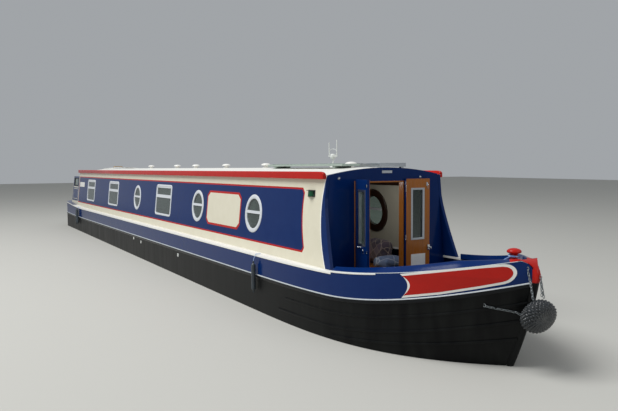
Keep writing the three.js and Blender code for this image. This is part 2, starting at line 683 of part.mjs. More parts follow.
function buildDoors() {
  const [x0, x1] = [HINGE_X - DOOR_THICK / 2 - 3, HINGE_X + DOOR_THICK / 2 - 3];
  for (const door of FRONT_DOORS) {
    const from = door.pin + door.run * HINGE_SLACK;
    const to = from + door.run * door.width;
    const slab = box(x0, x1, ...span(from, to), DOOR_FOOT, DOOR_TOP);
    const near = from + door.run * DOOR_PANE.inset;
    const across = span(near, near + door.run * DOOR_PANE.wide);
    const pane = box(x0 - 10, x1 + 10, ...across, DOOR_PANE.z0, DOOR_PANE.z1);
    addPart(`front_door_${door.side}`, hinged(cut(slab, pane), HINGE_X, door.pin, door.rest), door.paint);
  }

  // the rear doors hang on the leaning aft edges of the cabin sides and stand open in line with them
  const { thick, foot, top, inset, ahead, slack, centre } = REAR_DOOR;
  const free = (h) => CABIN_AFT - ahead - (cabinY(h) - inset - centre);
  const near = CABIN_AFT - ahead - slack;
  const leaf = outline([[free(foot), foot], [near, foot], [near, top], [free(top), top]]
    .map(([x, h]) => [x, GUNWALE + h]));
  const { aft, fore, low, high } = REAR_PANE;
  const pane = [[aft, low], [fore, low], [fore, high], [aft, high]].map(([x, h]) => [x, GUNWALE + h]);
  const rear = cut(sideSlab(leaf, 0, thick), sideSlab(outline(pane), 20, thick + 40));
  addPart('rear_door_port', rear, PAINT.navy);
  addPart('rear_door_starboard', mirrored(rear), PAINT.navy);

  const companion = box(ROOF_AFT + 2, ROOF_AFT + 34, 4, COMPANION_HALF - 6, GUNWALE + 28, GUNWALE + 1030);
  addPart('companion_door_port', companion, PAINT.navy);
  addPart('companion_door_starboard', mirrored(companion), PAINT.navy);
}

function roofHeight(y) {
  const half = cabinY(EAVES) + 2;
  return GUNWALE + EAVES + GAP + CAMBER * (1 - (y / half) ** 2);
}

const HATCH_HALF = 360; // half the opening's breadth
const HATCH_FORE = ROOF_AFT + 850; // its fore end
const HATCH = { lap: 40, ends: 20, above: 14, rise: 30, thick: 8 }; // it laps over the opening on every side
const VENTS = [-726, -3078, -4635, -6150, -7264, -9137]; // mushroom vents along the roof's middle
const VENT_PROFILE = [[0, -10], [38, -10], [38, 38], [72, 40], [74, 52], [50, 68], [0, 74]];
const SOLAR = { aft: -950, fore: -250, right: 90, left: 490, above: 28, thick: 25, footHalf: 20 };
const SOLAR_FEET = [[-900, 120], [-900, 460], [-300, 120], [-300, 460]];
const PLANK = { aft: -2350, fore: -420, right: -340, left: -80, above: 18, thick: 26 };
const PLANK_BEARERS = [-2150, -620];
const BEARER = { half: 30, right: -330, left: -90 };
const FOOT_SUNK = 5; // feet and bearers run into what they carry by this much
const MAST_X = -1140;
const MAST_BASE = [[0, 0], [58, 0], [50, 20], [0, 22]];
const MAST = { radius: 9, top: 150, boomHalf: 100, boomLow: 140, boomHigh: 156, armAt: 92, armRadius: 6 };
const MAST_ARMS = [[-1, 330], [1, 358]]; // side and top of each upright arm

function buildRoof() {
  const half = cabinY(EAVES) + 2;
  const edge = GUNWALE + EAVES + GAP;
  const count = 16;
  const under = archPoints(half - 45, edge + 1, CAMBER - ROOF_THICK, count).reverse();
  const over = archPoints(half, edge, CAMBER, count);
  const sheet = alongX(outline([...over, ...under]), ROOF_AFT, -BULKHEAD - 1);
  const opening = box(ROOF_AFT - 10, HATCH_FORE, -HATCH_HALF, HATCH_HALF, edge - 50, edge + 200);
  const vents = VENTS.map((x) => turned(VENT_PROFILE, x, 0, roofHeight(0), 16));
  addPart('roof', join(cut(sheet, opening), ...vents), PAINT.white);

  // the hatch slides on the roof and covers the opening when it is shut
  const hatchHalf = HATCH_HALF + HATCH.lap;
  const low = roofHeight(hatchHalf) + HATCH.above;
  const top = archPoints(hatchHalf, low, HATCH.rise, 8);
  const underside = archPoints(hatchHalf, low - HATCH.thick, HATCH.rise, 8).reverse();
  const hatch = alongX(outline([...top, ...underside]), ROOF_AFT - HATCH.ends, HATCH_FORE + HATCH.ends);
  addPart('sliding_hatch', hatch, PAINT.white);

  const panelBase = roofHeight(0) + SOLAR.above;
  const feet = SOLAR_FEET.map(([x, y]) => box(x - SOLAR.footHalf, x + SOLAR.footHalf, y - SOLAR.footHalf,
    y + SOLAR.footHalf, roofHeight(y - SOLAR.footHalf) + 1, panelBase + FOOT_SUNK));
  const panel = box(SOLAR.aft, SOLAR.fore, SOLAR.right, SOLAR.left, panelBase, panelBase + SOLAR.thick);
  addPart('solar_panel', join(panel, ...feet), PAINT.silver);

  const plankBase = roofHeight(0) + PLANK.above;
  const bearers = PLANK_BEARERS.map((x) => box(x - BEARER.half, x + BEARER.half, BEARER.right, BEARER.left,
    roofHeight(BEARER.left) + 1, plankBase + FOOT_SUNK));
  const plank = box(PLANK.aft, PLANK.fore, PLANK.right, PLANK.left, plankBase, plankBase + PLANK.thick);
  addPart('gang_plank', join(plank, ...bearers), PAINT.navy);

  const deck = roofHeight(0) + GAP;
  const { radius, top: mastTop, boomHalf, boomLow, boomHigh, armAt, armRadius } = MAST;
  const arms = MAST_ARMS.map(([side, armTop]) => {
    const x = MAST_X + side * armAt;
    return rod([x, 0, deck + boomLow + 8], [x, 0, deck + armTop], armRadius, 8);
  });
  const aerial = [turned(MAST_BASE, MAST_X, 0, deck, 16),
    rod([MAST_X, 0, deck + 10], [MAST_X, 0, deck + mastTop], radius, 10),
    box(MAST_X - 35, MAST_X + 35, -28, 28, deck + 110, deck + 180),
    box(MAST_X - boomHalf, MAST_X + boomHalf, -8, 8, deck + boomLow, deck + boomHigh), ...arms];
  addPart('tv_aerial', join(...aerial), PAINT.white);
}

const SHAFT_Z = 270;
const PROPELLER_X = -14170;

const RUDDER_BLADE = { aft: -15180, fore: -14690, half: 9, low: 60, top: UXTER - 30 };
const STOCK_RADIUS = 20;
const STOCK_HEAD = 80; // over the deck
const TILLER_RADIUS = 19;
const TILLER_LINE = [
  // x from the rudder's axis, height over the gunwale; the first two stand on the stock's head
  [-55, 480], [-45, 780], [110, 975], [420, 1015], [800, 1020], [1380, 1025],
];
const HUB = { radius: 36, aft: 45, fore: 50 };
const BLADE = { thick: 9, wide: 72, tall: 92, out: 112, pitch: 35 }; // half sizes of a propeller blade
const ENGINE = { aft: -13000, fore: -12420, half: 290, top: 760 };

function buildSteering() {
  const { aft, fore, half, low, top: bladeTop } = RUDDER_BLADE;
  const head = sternLift(RUDDER_X) + STOCK_HEAD;
  const stock = rod([RUDDER_X, 0, BASE_THICK + 4], [RUDDER_X, 0, GUNWALE + head], STOCK_RADIUS);
  addPart('rudder', join(box(aft, fore, -half, half, low, bladeTop), stock), PAINT.black);

  const line = [[0, head + 4], [-10, head + 140], ...TILLER_LINE];
  const through = line.map(([x, h]) => new THREE.Vector3(RUDDER_X + x, 0, GUNWALE + GAP + h));
  const neck = new THREE.CatmullRomCurve3(through);
  const bar = outline(circle(0, 0, TILLER_RADIUS, 12));
  addPart('tiller', new THREE.ExtrudeGeometry(bar, { steps: 26, extrudePath: neck }), PAINT.brass);

  const hub = rod([PROPELLER_X - HUB.aft, 0, SHAFT_Z], [PROPELLER_X + HUB.fore, 0, SHAFT_Z], HUB.radius);
  const blades = [0, 120, 240].map((angle) => {
    const one = new THREE.SphereGeometry(1, 14, 10).scale(BLADE.thick, BLADE.wide, BLADE.tall);
    return one.rotateZ(degrees(BLADE.pitch)).translate(0, 0, BLADE.out).rotateX(degrees(angle))
      .translate(PROPELLER_X, 0, SHAFT_Z);
  });
  addPart('propeller', join(hub, ...blades), PAINT.brass);
  const tube = rod([PROPELLER_X + HUB.fore + 6, 0, SHAFT_Z], [STERN_POST - 1, 0, SHAFT_Z], HUB.radius - 4);
  addPart('stern_tube', tube, PAINT.black);
  const engine = box(ENGINE.aft, ENGINE.fore, -ENGINE.half, ENGINE.half, BASE_THICK + GAP, ENGINE.top);
  addPart('engine', engine, PAINT.black);
}

const STUD_X = 1875;
const STUD_PROFILE = [
  // radius, height over the deck; its foot is cut off along the sloping deck
  [0, -16], [58, -16], [58, 14], [34, 40], [28, 70], [44, 84], [66, 92], [60, 112], [32, 126], [0, 130],
];
const FENDER_H = -200; // the bow fender's middle
const FENDER_STRETCH = 1.25; // it is this much broader than tall
const FENDER_PROFILE = [
  // radius, distance from the stem
  [0, 0], [120, 2], [150, 36], [150, 100], [132, 140], [100, 165], [0, 168],
];
const TUBE_RADIUS = 29;
const TUBE_OFF = 5; // between the rubbing strake and a tube fender
const TUBES = {
  // x at the head, x at the foot, head, foot
  side_fender_fore: [[-1313, -1313, -85, -476]],
  side_fenders_aft: [[-12600, -12540, -12, -456], [-12640, -12710, -12, -456]],
};

function buildBowFittings() {
  const deck = GUNWALE + sheer(STUD_X);
  const slope = (sheer(STUD_X + 50) - sheer(STUD_X - 50)) / 100;
  const below = box(-150, 150, -150, 150, -100, 1).rotateY(-Math.atan(slope)).translate(STUD_X, 0, deck);
  addPart('mooring_stud', cut(turned(STUD_PROFILE, STUD_X, 0, deck, 20), below), PAINT.red);

  // the bow fender hangs against the raked stem
  const round = new THREE.LatheGeometry(FENDER_PROFILE.map(([r, x]) => new THREE.Vector2(r, x)), 24);
  const rake = Math.atan((stemX(FENDER_H + 100) - stemX(FENDER_H - 100)) / 200);
  const off = stemX(FENDER_H) + STEM_PROUD + 3;
  round.rotateZ(-Math.PI / 2).rotateY(rake).scale(1, FENDER_STRETCH, 1);
  round.translate(off, 0, GUNWALE + FENDER_H);
  addPart('bow_fender', round, PAINT.rubber);

  // tube fenders hang at the starboard side
  const y = -(HALF_BEAM + GUARD_THICK + TUBE_OFF + TUBE_RADIUS);
  for (const [name, tubes] of Object.entries(TUBES)) {
    const rods = tubes.map(([x0, x1, head, foot]) => (
      rod([x1, y, GUNWALE + foot], [x0, y, GUNWALE + head], TUBE_RADIUS, 14)));
    addPart(name, join(...rods), PAINT.rubber);
  }
}

// the bow mooring rope goes round the stud's neck and lies in loose runs on the foredeck
const ROPE_RADIUS = 10;
const ROPE_TURN = { radius: 46, from: -250, to: 153, high: 66, low: 46 }; // degrees, and heights over the deck
const ROPE_LIFT = ROPE_RADIUS + 2;
const ROPE_STEPS = 260;
const ROPE_RUN = [
  // x, y, height of its middle over the deck where it isn't ROPE_LIFT
  [1807, -33, 36], [1788, -53, 20], [1770, -83], [1742, -97], [1682, -78], [1586, -116], [1470, -175],
  [1370, -200], [1290, -190], [1262, -142], [1320, -100], [1430, -90], [1550, -50], [1640, 14],
  [1700, 18], [1685, 105], [1610, 162], [1530, 100], [1440, 25], [1340, -18], [1240, -35],
  [1196, 10], [1230, 60], [1320, 78], [1400, 120], [1440, 190], [1420, 260], [1350, 300], [1270, 310],
];

function buildRope() {
  const { radius, from, to, high, low } = ROPE_TURN;
  const count = 20;
  const turns = bendRow(degrees(from), degrees(to), count).map((angle, i) => [
    STUD_X + radius * Math.cos(angle), radius * Math.sin(angle),
    sheer(STUD_X) + high + ((low - high) * i) / count,
  ]);
  const run = ROPE_RUN.map(([x, y, lift = ROPE_LIFT]) => [x, y, sheer(x) + lift]);
  const through = [...turns, ...run].map(([x, y, h]) => new THREE.Vector3(x, y, GUNWALE + h));
  const extrudePath = new THREE.CatmullRomCurve3(through);
  const section = outline(circle(0, 0, ROPE_RADIUS, 8));
  addPart('bow_rope', new THREE.ExtrudeGeometry(section, { steps: ROPE_STEPS, extrudePath }), PAINT.rope);
}

function softBlock(x0, x1, y0, y1, z0, z1) {
  const r = 40;
  const [w, d] = [x1 - x0, y1 - y0];
  const shape = new THREE.Shape();
  shape.moveTo(-w / 2 + r, -d / 2).lineTo(w / 2 - r, -d / 2);
  shape.quadraticCurveTo(w / 2, -d / 2, w / 2, -d / 2 + r);
  shape.lineTo(w / 2, d / 2 - r).quadraticCurveTo(w / 2, d / 2, w / 2 - r, d / 2);
  shape.lineTo(-w / 2 + r, d / 2).quadraticCurveTo(-w / 2, d / 2, -w / 2, d / 2 - r);
  shape.lineTo(-w / 2, -d / 2 + r).quadraticCurveTo(-w / 2, -d / 2, -w / 2 + r, -d / 2);
  const geometry = new THREE.ExtrudeGeometry(shape, { depth: z1 - z0, bevelEnabled: false, curveSegments: 4 });
  return geometry.translate((x0 + x1) / 2, (y0 + y1) / 2, z0);
}

const SEAT_TOP = 960;

function buildSaloon() {
  const cushion = SEAT_TOP + 1;
  addPart('saloon_seat', box(-1600, -420, 260, 790, FLOOR_TOP + GAP, SEAT_TOP), PAINT.oak);
  addPart('cushion_back', softBlock(-1330, -810, 630, 780, cushion, cushion + 379), PAINT.fabric);
  addPart('cushion_seat', softBlock(-760, -440, 330, 720, cushion, cushion + 189), PAINT.fabric);
}

buildHullSides();
buildStem();
buildBottom();
buildStern();
buildBowDecks();
buildCabinSides();
buildRoof();
buildBulkheads();
buildRails();
buildGuards();
buildDoors();
buildSteering();
buildBowFittings();
buildRope();
buildSaloon();

boat.position.x = -MIDDLE;

export default boat;
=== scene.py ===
# %% [markdown]
# # A steel canal narrowboat
# A narrowboat is a long steel hull only two metres wide, because the narrow locks of the canals are no wider. On it
# stands a low steel cabin with leaning sides and an arched roof. The boat's plain solids come from a imported model,
# and stay where they are: this script gives each one its real finish, and works out as smooth surfaces the pieces
# whose curves or fittings the plain solids only stand in for. The model is loaded first, and its box is kept, to be
# written beside the finished boat's box at the end.
# %% Load the imported boat
import json
import math

import bpy
import numpy as np
from mathutils import Matrix, Vector
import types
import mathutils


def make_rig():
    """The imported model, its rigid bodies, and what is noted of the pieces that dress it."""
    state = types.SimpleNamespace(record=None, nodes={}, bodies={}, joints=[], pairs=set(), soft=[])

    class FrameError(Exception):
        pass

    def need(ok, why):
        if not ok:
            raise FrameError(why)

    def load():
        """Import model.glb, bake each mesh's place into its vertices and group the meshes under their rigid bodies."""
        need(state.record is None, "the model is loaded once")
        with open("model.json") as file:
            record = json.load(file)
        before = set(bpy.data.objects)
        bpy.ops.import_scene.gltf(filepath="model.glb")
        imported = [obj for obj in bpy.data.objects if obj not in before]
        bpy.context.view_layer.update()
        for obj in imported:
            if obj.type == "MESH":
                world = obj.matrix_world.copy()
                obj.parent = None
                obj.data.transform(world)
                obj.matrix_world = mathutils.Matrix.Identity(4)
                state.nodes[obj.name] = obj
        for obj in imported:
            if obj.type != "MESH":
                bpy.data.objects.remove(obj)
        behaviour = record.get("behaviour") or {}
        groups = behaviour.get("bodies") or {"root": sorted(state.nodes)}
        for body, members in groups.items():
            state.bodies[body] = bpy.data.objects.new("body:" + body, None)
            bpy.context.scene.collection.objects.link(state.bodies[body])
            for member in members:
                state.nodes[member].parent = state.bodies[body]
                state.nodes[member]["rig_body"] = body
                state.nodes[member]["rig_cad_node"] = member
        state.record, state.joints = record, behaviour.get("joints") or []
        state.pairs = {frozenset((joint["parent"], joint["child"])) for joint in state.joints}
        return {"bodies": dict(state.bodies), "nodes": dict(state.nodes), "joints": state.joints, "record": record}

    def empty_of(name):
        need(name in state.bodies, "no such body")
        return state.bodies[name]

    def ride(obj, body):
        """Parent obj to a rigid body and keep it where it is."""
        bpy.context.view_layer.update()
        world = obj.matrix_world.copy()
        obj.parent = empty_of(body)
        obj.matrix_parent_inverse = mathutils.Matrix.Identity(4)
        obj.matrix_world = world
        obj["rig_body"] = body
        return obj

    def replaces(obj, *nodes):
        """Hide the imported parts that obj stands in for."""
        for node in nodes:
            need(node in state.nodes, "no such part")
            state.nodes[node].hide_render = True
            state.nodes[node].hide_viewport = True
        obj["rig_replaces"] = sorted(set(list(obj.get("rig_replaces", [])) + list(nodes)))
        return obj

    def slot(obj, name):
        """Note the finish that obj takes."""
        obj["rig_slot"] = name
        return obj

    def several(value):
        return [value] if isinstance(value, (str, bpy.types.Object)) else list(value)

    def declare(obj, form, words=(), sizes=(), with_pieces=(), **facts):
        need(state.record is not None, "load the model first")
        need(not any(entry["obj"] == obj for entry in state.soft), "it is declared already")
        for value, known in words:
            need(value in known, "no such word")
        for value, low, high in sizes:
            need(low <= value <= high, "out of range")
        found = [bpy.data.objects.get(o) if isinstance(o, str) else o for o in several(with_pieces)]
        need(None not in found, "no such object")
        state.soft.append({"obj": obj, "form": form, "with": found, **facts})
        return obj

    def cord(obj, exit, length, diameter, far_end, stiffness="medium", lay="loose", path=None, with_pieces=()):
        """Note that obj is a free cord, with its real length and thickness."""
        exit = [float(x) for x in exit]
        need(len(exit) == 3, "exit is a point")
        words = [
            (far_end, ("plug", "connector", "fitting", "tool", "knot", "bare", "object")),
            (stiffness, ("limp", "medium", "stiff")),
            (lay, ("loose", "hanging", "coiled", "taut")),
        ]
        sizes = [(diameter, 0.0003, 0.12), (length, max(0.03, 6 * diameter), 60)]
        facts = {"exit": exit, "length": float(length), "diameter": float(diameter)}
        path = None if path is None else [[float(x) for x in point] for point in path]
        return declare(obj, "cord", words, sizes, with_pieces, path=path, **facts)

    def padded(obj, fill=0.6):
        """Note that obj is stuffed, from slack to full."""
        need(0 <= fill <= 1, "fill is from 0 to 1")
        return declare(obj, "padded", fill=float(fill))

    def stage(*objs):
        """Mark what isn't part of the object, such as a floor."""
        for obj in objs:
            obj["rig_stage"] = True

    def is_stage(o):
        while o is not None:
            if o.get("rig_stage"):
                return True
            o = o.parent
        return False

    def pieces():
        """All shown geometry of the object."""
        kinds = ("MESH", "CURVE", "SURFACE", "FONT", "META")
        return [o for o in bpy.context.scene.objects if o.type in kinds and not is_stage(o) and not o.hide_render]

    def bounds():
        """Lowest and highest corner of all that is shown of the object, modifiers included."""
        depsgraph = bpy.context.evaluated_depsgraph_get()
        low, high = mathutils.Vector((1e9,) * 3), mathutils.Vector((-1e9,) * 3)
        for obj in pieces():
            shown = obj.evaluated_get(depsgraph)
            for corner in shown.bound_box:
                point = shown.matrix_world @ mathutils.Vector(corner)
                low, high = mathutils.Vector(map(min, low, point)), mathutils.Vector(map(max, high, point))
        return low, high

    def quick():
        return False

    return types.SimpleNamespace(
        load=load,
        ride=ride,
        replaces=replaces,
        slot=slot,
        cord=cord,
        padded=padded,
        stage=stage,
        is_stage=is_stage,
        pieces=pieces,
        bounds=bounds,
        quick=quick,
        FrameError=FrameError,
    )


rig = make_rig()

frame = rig.load()
nodes = frame["nodes"]
cad_box = [list(corner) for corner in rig.bounds()]
print(len(nodes), "plain solids on", len(frame["bodies"]), "bodies, box", np.round(cad_box, 3).tolist())

# %% [markdown]
# ## Where things are
# A boatbuilder measures along the boat from a bulkhead and up from the gunwale, the walkway round the cabin's foot.
# The same is done here: x counts forward from the front cabin bulkhead, y to port, and h over the gunwale, all in
# metres. One small function turns such a place into the model's frame.
# %% Places on the boat
FRONT = 6.480  # the front bulkhead, along the frame's x
DECK = 1.200  # the gunwale's top amidships, over the underside of the baseplate


def at(x, y, h):
    """The frame's point for a place x ahead of the front bulkhead, y to port and h over the gunwale."""
    x, y, h = np.broadcast_arrays(np.asarray(x, float), y, h)
    return np.stack([x + FRONT, y, h + DECK], axis=-1)


# %% [markdown]
# ## The camera
# The picture was taken from the bank ahead of the boat, with the eye about a metre above the gunwale. The lens and
# the angles come from fitting straight edges and equal round windows, so the camera is set by its real place, its
# turn, and the focal length of a lens in front of a sensor 36 mm wide.
# %% Set up the camera
LENS_MM = 36.676
SENSOR_MM = 36.0
EYE = (5.8037, -4.5086, 1.0945)
TURN, NOD, ROLL = np.radians([30.795, -3.488, -0.296])

ahead = Vector((-math.cos(TURN), math.sin(TURN), 0))
level = Vector((math.sin(TURN), math.cos(TURN), 0))
upright = Vector((0, 0, 1))
look = ahead * math.cos(NOD) + upright * math.sin(NOD)
over = upright * math.cos(NOD) - ahead * math.sin(NOD)
across = level * math.cos(ROLL) + over * math.sin(ROLL)
over = over * math.cos(ROLL) - level * math.sin(ROLL)

camera = bpy.data.objects.new("camera", bpy.data.cameras.new("camera"))
camera.data.lens = LENS_MM
camera.data.sensor_width = SENSOR_MM
camera.data.clip_end = 200
camera.matrix_world = Matrix.Translation(at(*EYE)) @ Matrix((across, over, -look)).transposed().to_4x4()
bpy.context.scene.collection.objects.link(camera)
bpy.context.scene.camera = camera
print("camera at", np.round(camera.location, 3).tolist())

# %% [markdown]
# ## Paint and metal as nodes
# Every finish below is a small tree of shader nodes, so one function adds a node with its settings and links. Paint
# makers give colours as sRGB hex codes, while the renderer works in linear light, so one function turns the code.
# %% Helpers for finishes
def linear(code):
    """The linear colour of an sRGB hex code: a straight part near black, then a power of 2.4."""
    share = np.array([int(code[i:i + 2], 16) for i in (0, 2, 4)]) / 255
    light = np.where(share <= 0.04045, share / 12.92, ((share + 0.055) / 1.055) ** 2.4)
    return (*light.tolist(), 1.0)


def add(tree, kind, inputs=None, **settings):
    """A node of that kind. An input takes a constant, or another node's output, which is then linked to it."""
    node = tree.nodes.new(kind)
    for name, value in settings.items():
        setattr(node, name, value)
    for name, value in (inputs or {}).items():
        if isinstance(value, bpy.types.NodeSocket):
            tree.links.new(value, node.inputs[name])
        else:
            node.inputs[name].default_value = value
    return node


def finish_of(name, **constants):
    """A material of one shader, with these constants on the shader's own sockets, and its tree."""
    material = bpy.data.materials.new(name)
    material.use_nodes = True
    shader = material.node_tree.nodes["Principled BSDF"]
    for socket, value in constants.items():
        shader.inputs[socket.replace("_", " ")].default_value = value
    return material, material.node_tree, shader


# %% [markdown]
# ## Surfaces from numbers
# A shape here is a grid of points worked out all at once: a function of two parameters, or a profile carried along
# a path. Four functions turn such grids into closed meshes: the quads of a grid, a skin over a row of closed loops,
# a slab between an outer and an inner surface, and a heap of plain boxes. The last step makes the mesh, turns its
# faces outwards by the sign of its volume, and lets it ride on its body.
# %% Helpers for meshes
def quads(rows, columns, around=False, along=False):
    """The four-cornered faces of a grid; around joins the last column to the first, along the last row."""
    index = np.arange(rows * columns).reshape(rows, columns)
    if around:
        index = np.concatenate([index, index[:, :1]], axis=1)
    if along:
        index = np.concatenate([index, index[:1]], axis=0)
    return np.stack([index[:-1, :-1], index[:-1, 1:], index[1:, 1:], index[1:, :-1]], axis=-1).reshape(-1, 4)


def skin(loops, ring=False):
    """Points and faces of a skin over a row of closed loops, with a flat cap at both ends, or ring joins them."""
    rows, columns = loops.shape[:2]
    faces = [quads(rows, columns, around=True, along=ring)]
    if not ring:
        faces += [np.arange(columns)[None, ::-1], np.arange(columns)[None] + (rows - 1) * columns]
    return loops.reshape(-1, 3), faces


def slab(outer, inner):
    """Points and faces of the solid between two grids of equal size, closed along their four borders."""
    rows, columns = outer.shape[:2]
    count = rows * columns
    index = np.arange(count).reshape(rows, columns)
    rim = np.concatenate([index[0, :-1], index[:-1, -1], index[-1, :0:-1], index[:0:-1, 0]])
    after = np.roll(rim, -1)
    face = quads(rows, columns)
    edge = np.stack([rim, rim + count, after + count, after], axis=-1)
    return np.concatenate([outer.reshape(-1, 3), inner.reshape(-1, 3)]), [face, face[:, ::-1] + count, edge]


def boxes(*spans):
    """Points and faces of plain boxes, each given by its ends along the three directions."""
    ends = np.array(spans, float).reshape(-1, 3, 2)
    corner = np.array([(i >> 2, (i >> 1) & 1, i & 1) for i in range(8)])
    points = ends[:, np.arange(3), corner].reshape(-1, 3)
    face = np.array([(0, 1, 3, 2), (4, 6, 7, 5), (0, 4, 5, 1), (2, 3, 7, 6), (0, 2, 6, 4), (1, 5, 7, 3)])
    return points, [(face[None] + 8 * np.arange(len(ends))[:, None, None]).reshape(-1, 4)]


def heap(*meshes):
    """Several closed meshes as one."""
    counts = np.cumsum([0] + [len(points) for points, _ in meshes])
    faces = [face + start for (_, group), start in zip(meshes, counts) for face in group]
    return np.concatenate([points for points, _ in meshes]), faces


pieces = {}


def make(name, mesh, material, body="hull", slot=None, instead_of=(), crease=35, choice=None, bevel=0.0):
    """A piece of the boat. choice picks a material for each face of a group; bevel rounds its edges, in metres."""
    points, faces = mesh
    points = points.astype(float)
    volume = 0.0
    for face in faces:
        first, *rest = [points[face[:, k]] for k in range(face.shape[1])]
        for here, after in zip(rest, rest[1:]):
            volume += np.einsum("ij,ij->", first, np.cross(here, after))
    if volume < 0:
        faces = [face[:, ::-1] for face in faces]
    data = bpy.data.meshes.new(name)
    data.vertices.add(len(points))
    data.vertices.foreach_set("co", points.astype(np.float32).ravel())
    totals = np.concatenate([np.full(len(face), face.shape[1]) for face in faces])
    data.loops.add(int(totals.sum()))
    data.loops.foreach_set("vertex_index", np.concatenate([face.ravel() for face in faces]).astype(np.int32))
    data.polygons.add(len(totals))
    data.polygons.foreach_set("loop_start", (np.cumsum(totals) - totals).astype(np.int32))
    for each in (material if isinstance(material, (list, tuple)) else [material]):
        data.materials.append(each)
    if choice is not None:
        picked = np.zeros(len(totals), np.int32)
        picked[:len(choice)] = choice
        data.polygons.foreach_set("material_index", picked)
    data.update(calc_edges=True)
    data.validate()
    data.shade_smooth()
    data.set_sharp_from_angle(angle=math.radians(crease))
    piece = bpy.data.objects.new(name, data)
    bpy.context.scene.collection.objects.link(piece)
    if bevel:
        rounding = piece.modifiers.new("rounding", "BEVEL")
        rounding.width, rounding.segments, rounding.limit_method = bevel, 2, "ANGLE"
        rounding.harden_normals = False
    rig.ride(piece, body)
    if instead_of:
        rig.replaces(piece, *instead_of)
    if slot:
        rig.slot(piece, slot)
    pieces[name] = piece
    return piece


# %% [markdown]
# ## The hull's lines
# The hull side is upright and straight for most of its length, and bends in to the stem ahead of the cabin. Seen
# from above, the breadth falls with the fifth power of the distance, so the bend is slight at first and the sides
# meet at an angle at the stem. The stem rakes forward as it rises, so the curve reaches further at the gunwale. The top edge sweeps up towards the bow, and a
# little towards the stern. These few formulas carry every piece of the hull.
# %% Formulas of the hull
HALF_BEAM = 1.0415
BOW_START = -2.22
BOW_POWER = 4.9
COUNTER_START, STERN_TIP = -14.3, -15.21
CABIN_AFT, ROOF_AFT = -13.42, -12.35
UXTER, BASE_THICK, PLATE = 0.49 - DECK, 0.012, 0.010
GUARD_TOP, GUARD_TALL = -0.250, 0.05
CANT_START = 0.3
LIP = 0.004


def stem_x(h):
    """How far ahead the stem stands: a straight line and a square of the height, steady above 0.1 m."""
    low = np.minimum(h, 0.1)
    return 2.1175 + 0.2271 * low - 0.1564 * low ** 2


def breadth(h):
    """Half the hull's breadth: whole down to the chine, then drawn in by 45 mm at the bottom."""
    return HALF_BEAM - 0.045 * np.clip((-0.6 - h) / 0.6, 0, None)


def bow(bend, h, inset=0.0):
    """x and y on the bow: sine of the bend to a power ahead, cosine squared out; inset is square to the curve."""
    def place(angle):
        along = np.sin(angle) ** (2 / BOW_POWER)
        return BOW_START + along * (stem_x(h) - BOW_START), breadth(h) * np.cos(angle) ** 2
    step = 0.002
    x, y = place(bend)
    xa, ya = place(np.maximum(bend - step, 0))
    xb, yb = place(np.minimum(bend + step, np.pi / 2 - 1e-6))
    length = np.hypot(xb - xa, yb - ya)
    return x + inset * (yb - ya) / length, y - inset * (xb - xa) / length


def bend_at(x, h=0.0):
    """The bend at which the bow's curve passes x."""
    along = np.clip((x - BOW_START) / (stem_x(h) - BOW_START), 0, 1)
    return np.arcsin(along ** (BOW_POWER / 2))


def sheer(x):
    """How far the top of the side rises ahead of the bulkhead: a line and a square."""
    return 0.010 * np.maximum(x, 0) + 0.058 * np.maximum(x, 0) ** 2


def stern_lift(x):
    """How far the gunwale rises towards the stern: a square, then a straight line."""
    along = np.maximum(0, -12.0 - np.asarray(x, float)) / 2.3
    return np.where(along < 1, 0.09 * along ** 2, 0.09 + 0.069 * (along - 1))


def bow_top(bend):
    """The top of the bow's side: the sheer, rounded down over the nose of the stem."""
    x = bow(bend, 0.1)[0]
    nose = np.interp(x, [2.045, 2.069, 2.089, 2.105, 2.132], [0.260, 0.250, 0.236, 0.208, 0.130])
    return np.where(x > 2.045, np.minimum(sheer(bow(bend, 0.0)[0]), nose), sheer(bow(bend, 0.0)[0]))


def guard_line(x):
    """The height of the rubbing strake's top edge along the hull."""
    return GUARD_TOP + 0.4 * stern_lift(x) + 0.092 * np.maximum(0, x - 0.2) ** 2


LAST_BEND = math.radians(79.5)
NOSE_BEND = math.radians(75.6)
CHANGE = float(bend_at(CANT_START))
print("stem at", round(float(stem_x(0)), 3), "m, side top at the nose", round(float(bow_top(1.4)), 3), "m")

# %% [markdown]
# ## The mooring rope
# A bow rope is three strands of polyester twisted together, here 20 mm thick, made fast round the stud and thrown
# down in loose runs on the foredeck. It is declared as a cord of its real length. Its line passes smoothly through
# the same places as the plain rope in the model, and its section is three round lobes that turn as they go along, so
# that the strands show. One strand is paler than its neighbours.
# %% Lay the rope on the foredeck
ROPE_RADIUS = 0.010
STUD_X = 1.875
TURN_RADIUS, TURN_FROM, TURN_TO, TURN_HIGH, TURN_LOW = 0.046, -250, 153, 0.066, 0.046
ROPE_RUN = np.array([
    # x, y and height of its middle over the deck, in millimetres
    (1807, -33, 36), (1788, -53, 20), (1770, -83, 12), (1742, -97, 12), (1682, -78, 12), (1586, -116, 12),
    (1470, -175, 12), (1370, -200, 12), (1290, -190, 12), (1262, -142, 12), (1320, -100, 12), (1430, -90, 12),
    (1550, -50, 12), (1640, 14, 12), (1700, 18, 12), (1685, 105, 12), (1610, 162, 12), (1530, 100, 12),
    (1440, 25, 12), (1340, -18, 12), (1240, -35, 12), (1196, 10, 12), (1230, 60, 12), (1320, 78, 12),
    (1400, 120, 12), (1440, 190, 12), (1420, 260, 12), (1350, 300, 12), (1270, 310, 12),
]) / 1000


